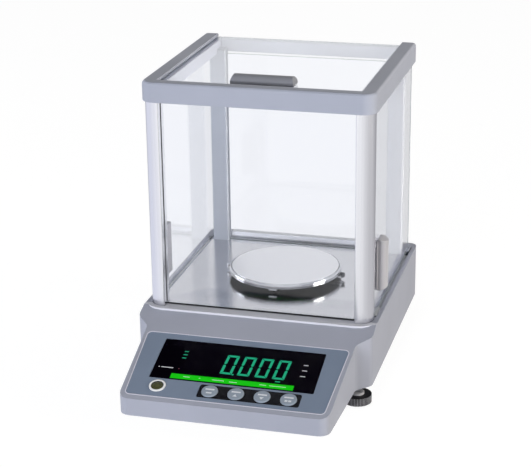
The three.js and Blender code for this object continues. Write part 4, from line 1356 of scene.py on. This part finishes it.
class BALANCE_OT_pan(bpy.types.Operator):
    """Model the weighing pan, its carrier with the hook, and the floor sheet"""

    bl_idname = "balance.pan"
    bl_label = "Weighing Pan"

    def execute(self, context):
        self.make_pan()
        self.make_carrier()
        steel = ("housing", "stainless_floor")
        replica("chamber_floor", "floor_sheet", *steel, "floor_stainless", width=0.15 * MM)
        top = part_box("chamber_floor")[1]
        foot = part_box("rear_left_pillar")[1]
        reach = -foot.x - 0.5 * MM
        strip = block(
            "rear_strip", (-reach, top.y + 0.1 * MM, top.z + 0.02 * MM),
            (reach, foot.y - 0.8 * MM, top.z + 0.2 * MM),
        )
        settle(strip, *steel, "floor_stainless", width=0.05 * MM, steps=1)
        replica("pan_post", "post_rod", *steel, "zinc_plate")
        return {"FINISHED"}

    def make_pan(self):
        low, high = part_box("weighing_pan")
        place = middle("weighing_pan")
        place.z = 0
        radius = (high.x - low.x) / 2
        top, skirt = high.z, low.z + 1.1 * MM
        roll, groove = sizes().pan_roll, sizes().pan_groove
        flat = radius - roll - 0.9 * MM
        inner = radius - 0.8 * MM
        neck = radius - 0.35 * MM
        curl = 1.2 * MM
        boss = 9 * MM
        pan = turned(
            "pan_dish",
            [(0, top), (flat - 0.3 * MM, top), (flat, top - 0.08 * MM), (flat + 0.15 * MM, top - groove)]
            + [(flat + 0.65 * MM, top - groove), (flat + 0.8 * MM, top - 0.45 * groove)]
            + arc((radius - roll, top - roll - 0.15 * MM), roll, pi / 2, 0, 12)
            + [(radius, top - 2.9 * MM), (neck, top - 3.1 * MM), (neck, top - 3.5 * MM)]
            + [(radius, top - 3.7 * MM), (radius, skirt + 0.5 * MM), (radius - 0.2 * MM, skirt + 0.2 * MM)]
            + [(radius - 0.3 * MM, skirt), (inner + 0.1 * MM, skirt), (inner, skirt + 0.2 * MM)]
            + arc((inner - curl, top - 3.2 * MM), curl, 0, pi / 2, 6)
            + [(flat - 1.5 * MM, top - 1.9 * MM), (flat - 2.5 * MM, top - 1.2 * MM)]
            + [(boss, top - 1.2 * MM), (boss, low.z), (0, low.z)],
            place, 128,
        )
        looks = ("pan_satin", "pan_chrome", "pan_dull")
        dress(smooth(pan), "pan", "pan_steel", *looks, replaces=["weighing_pan"])

        def from_axis(face):
            return (face.center - place).xy.length

        paint(pan, 1, lambda face: from_axis(face) > flat)
        # Painted shade: the underside, the foot of the skirt and the grooves in the rim's wall and round
        # the top take the dark steel
        paint(pan, 2, lambda face: (
            (from_axis(face) < inner - 0.02 * MM and face.center.z < top - 0.9 * MM)
            or face.center.z < skirt + 0.45 * MM
            or (from_axis(face) > inner and abs(face.center.z - top + 3.3 * MM) < 0.3 * MM)
            or (abs(from_axis(face) - flat - 0.4 * MM) < 0.3 * MM and face.center.z > top - 0.5 * MM)
        ))

    def make_carrier(self):
        x, _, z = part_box("pan_carrier")[1]
        y = middle("pan_carrier").y
        arms = copy_of("pan_carrier", "carrier_arms")
        round_edges(arms, sizes().fine_edge, 2)
        finish(arms, "pan_chrome", "dark_trim")
        tip = 52 * MM
        paint(arms, 1, lambda face: face.center.x > tip)
        bends = (
            (-4.6, -1.0, -0.9), (-3.4, -1.6, 1.2), (-2.2, -2.4, 0.4),
            (-1.2, -3.2, -1.2), (0.4, -3.4, -1.5), (1.0, -3.3, -0.6),
        )
        hook = wire("hook", 0.55 * MM, [(x + dx * MM, y + dy * MM, z + dz * MM) for dx, dy, dz in bends])
        piece = smooth(joined("carrier_arms", [arms, finish(hook, "dark_trim")]))
        dress(piece, "pan", "stainless_floor", replaces=["pan_carrier"])


class BALANCE_OT_underside(bpy.types.Operator):
    """Model the feet, and finish the base plate and what is inside"""

    bl_idname = "balance.underside"
    bl_label = "Underside"

    def execute(self, context):
        for side in ("left", "right"):
            self.make_knob(side)
            front, screw = f"front_{side}_foot", f"front_{side}_foot_screw"
            replica(f"{front}_stud", f"{side}_stud", screw, "zinc_steel", "zinc_plate")
            replica(f"{front}_pad", f"{side}_pad", front, "foot_rubber", "moulded_rubber")
            replica(f"rear_{side}_foot", f"{side}_rear_foot", "housing", "foot_rubber", "moulded_rubber")
        for i in range(1, 5):
            self.make_screw(i)
        repaint("zinc_plate", "base_plate", "force_cell_bracket")
        repaint("pillar_anodised", "force_cell")
        repaint("board_mask", "main_board", "display_board")
        repaint("gloss_black", "display_module")
        return {"FINISHED"}

    def make_knob(self, side):
        """A ribbed disc with a grey hub on it, bored for the stud."""
        node = f"front_{side}_foot_knob"
        low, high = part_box(node)
        x, y, _ = middle(node)
        radius = (high.y - low.y) / 2
        bore, hub_radius, chamfer = 3.3 * MM, 6.5 * MM, 0.4 * MM
        ribs, groove = 60, 0.935
        shoulder = high.z - 2.2 * MM
        bpy.ops.mesh.primitive_circle_add(
            vertices=4 * ribs, radius=radius, fill_type="NGON", location=(x, y, low.z)
        )
        disc = apply_place(named(f"{side}_knob"))
        with editing(disc, "VERT"):
            pick("verts", lambda vertex: vertex.index % 4 > 1)
            bpy.ops.transform.resize(value=(groove, groove, 1), center_override=(x, y, low.z))
            bpy.ops.mesh.select_all(action="SELECT")
            raise_by(shoulder - low.z)
        bpy.ops.mesh.primitive_cylinder_add(
            vertices=48, radius=bore, depth=20 * MM, location=(x, y, (low.z + shoulder) / 2)
        )
        cut(disc, apply_place(named("bore")))
        round_edges(disc, 0.2 * MM, 2, radians(60))
        finish(disc, "knurl_plastic", "gloss_black")
        paint(disc, 1, lambda face: (
            abs(face.normal.z) > 0.5 or (face.center.xy - Vector((x, y))).length < 0.975 * radius
        ))
        hub = turned(
            "hub",
            [(bore, shoulder), (hub_radius, shoulder), (hub_radius, high.z - chamfer)]
            + [(hub_radius - chamfer, high.z), (bore, high.z), (bore, shoulder)],
            (x, y, 0), 48,
        )
        piece = smooth(joined(f"{side}_knob", [disc, finish(hub, "knurl_plastic")]))
        dress(piece, f"front_{side}_foot_screw", "black_plastic", replaces=[node])

    def make_screw(self, number):
        node = f"base_screw_{number}"
        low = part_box(node)[0]
        x, y, _ = middle(node)
        screw = copy_of(node, f"plate_screw_{number}")
        bottom, depth = low.z - MM, low.z + 0.9 * MM
        for long, short in ((2.2 * MM, 0.4 * MM), (0.4 * MM, 2.2 * MM)):
            cut(screw, block("slot", (x - long, y - short, bottom), (x + long, y + short, depth)))
        dress(smooth(screw), "housing", "zinc_steel", "zinc_plate", replaces=[node])


class BALANCE_OT_connectors(bpy.types.Operator):
    """Model the power inlet and the serial connector with their contacts"""

    bl_idname = "balance.connectors"
    bl_label = "Connectors"

    def execute(self, context):
        self.make_inlet()
        self.make_serial()
        return {"FINISHED"}

    def pin(self, name, x, z, back, radius, reach):
        """A round-nosed pin along y, standing out of a depth towards the back."""
        profile = [(0, 0), (radius, 0)] + arc((0, reach - radius), radius, 0, pi / 2, 4)
        pin = turned(name, profile, (0, 0, 0), 20)
        pin.matrix_world = Matrix.Translation((x, back, z)) @ Matrix.Rotation(-pi / 2, 4, "X")
        return finish(apply_place(pin), "contact_metal")

    def make_body(self, node, name, *looks):
        """A connector's body, with its middle and its face."""
        body = copy_of(node, name)
        round_edges(body, 0.2 * MM, 2)
        finish(body, *looks)
        x, _, z = middle(node)
        return body, x, z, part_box(node)[1].y

    def make_inlet(self):
        body, x, z, face_y = self.make_body("power_inlet", "inlet_body", "gloss_black")
        pin = self.pin("inlet_pin", x, z, face_y - 7.4 * MM, 1.0 * MM, 6.6 * MM)
        piece = smooth(joined("inlet_body", [body, pin]))
        dress(piece, "housing", "black_plastic", replaces=["power_inlet"])

    def make_serial(self):
        body, x, z, face_y = self.make_body("serial_connector", "serial_body", "zinc_plate", "gloss_black")
        paint(body, 1, lambda face: (
            face.center.y < face_y - 0.5 * MM
            and abs(face.center.x - x) < 9.2 * MM and abs(face.center.z - z) < 4.4 * MM
        ))
        pieces = [body]
        pitch, row = 2.77 * MM, 1.4 * MM
        for count, height in ((5, row), (4, -row)):
            for i in range(count):
                place = x + (i - (count - 1) / 2) * pitch
                name = f"contact_{count}_{i}"
                pieces.append(self.pin(name, place, z + height, face_y - 5.9 * MM, 0.5 * MM, 5 * MM))
        piece = smooth(joined("serial_body", pieces))
        dress(piece, "housing", "zinc_steel", replaces=["serial_connector"])


class BALANCE_PT_panel(bpy.types.Panel):
    """Lists the pieces of the balance"""

    bl_idname = "BALANCE_PT_panel"
    bl_label = "Laboratory Balance"
    bl_space_type = "VIEW_3D"
    bl_region_type = "UI"
    bl_category = "Balance"

    def draw(self, context):
        for operator in OPERATORS:
            self.layout.operator(operator.bl_idname)


OPERATORS = (
    BALANCE_OT_stage,
    BALANCE_OT_housing,
    BALANCE_OT_top_frame,
    BALANCE_OT_pillars,
    BALANCE_OT_panes,
    BALANCE_OT_handles,
    BALANCE_OT_display,
    BALANCE_OT_keys,
    BALANCE_OT_level,
    BALANCE_OT_pan,
    BALANCE_OT_underside,
    BALANCE_OT_connectors,
)
GROUPS = {
    "balance_colours": BALANCE_PG_colours,
    "balance_sizes": BALANCE_PG_sizes,
    "balance_stage": BALANCE_PG_stage,
}


def register():
    for cls in (*GROUPS.values(), *OPERATORS, BALANCE_PT_panel):
        bpy.utils.register_class(cls)
    for name, group in GROUPS.items():
        setattr(bpy.types.Scene, name, PointerProperty(type=group))


def unregister():
    for name in GROUPS:
        delattr(bpy.types.Scene, name)
    for cls in (BALANCE_PT_panel, *reversed(OPERATORS), *GROUPS.values()):
        bpy.utils.unregister_class(cls)


def main():
    register()
    bpy.ops.object.select_all(action="DESELECT")
    for operator in OPERATORS:
        group, name = operator.bl_idname.split(".")
        getattr(getattr(bpy.ops, group), name)()


if __name__ == "__main__":
    main()
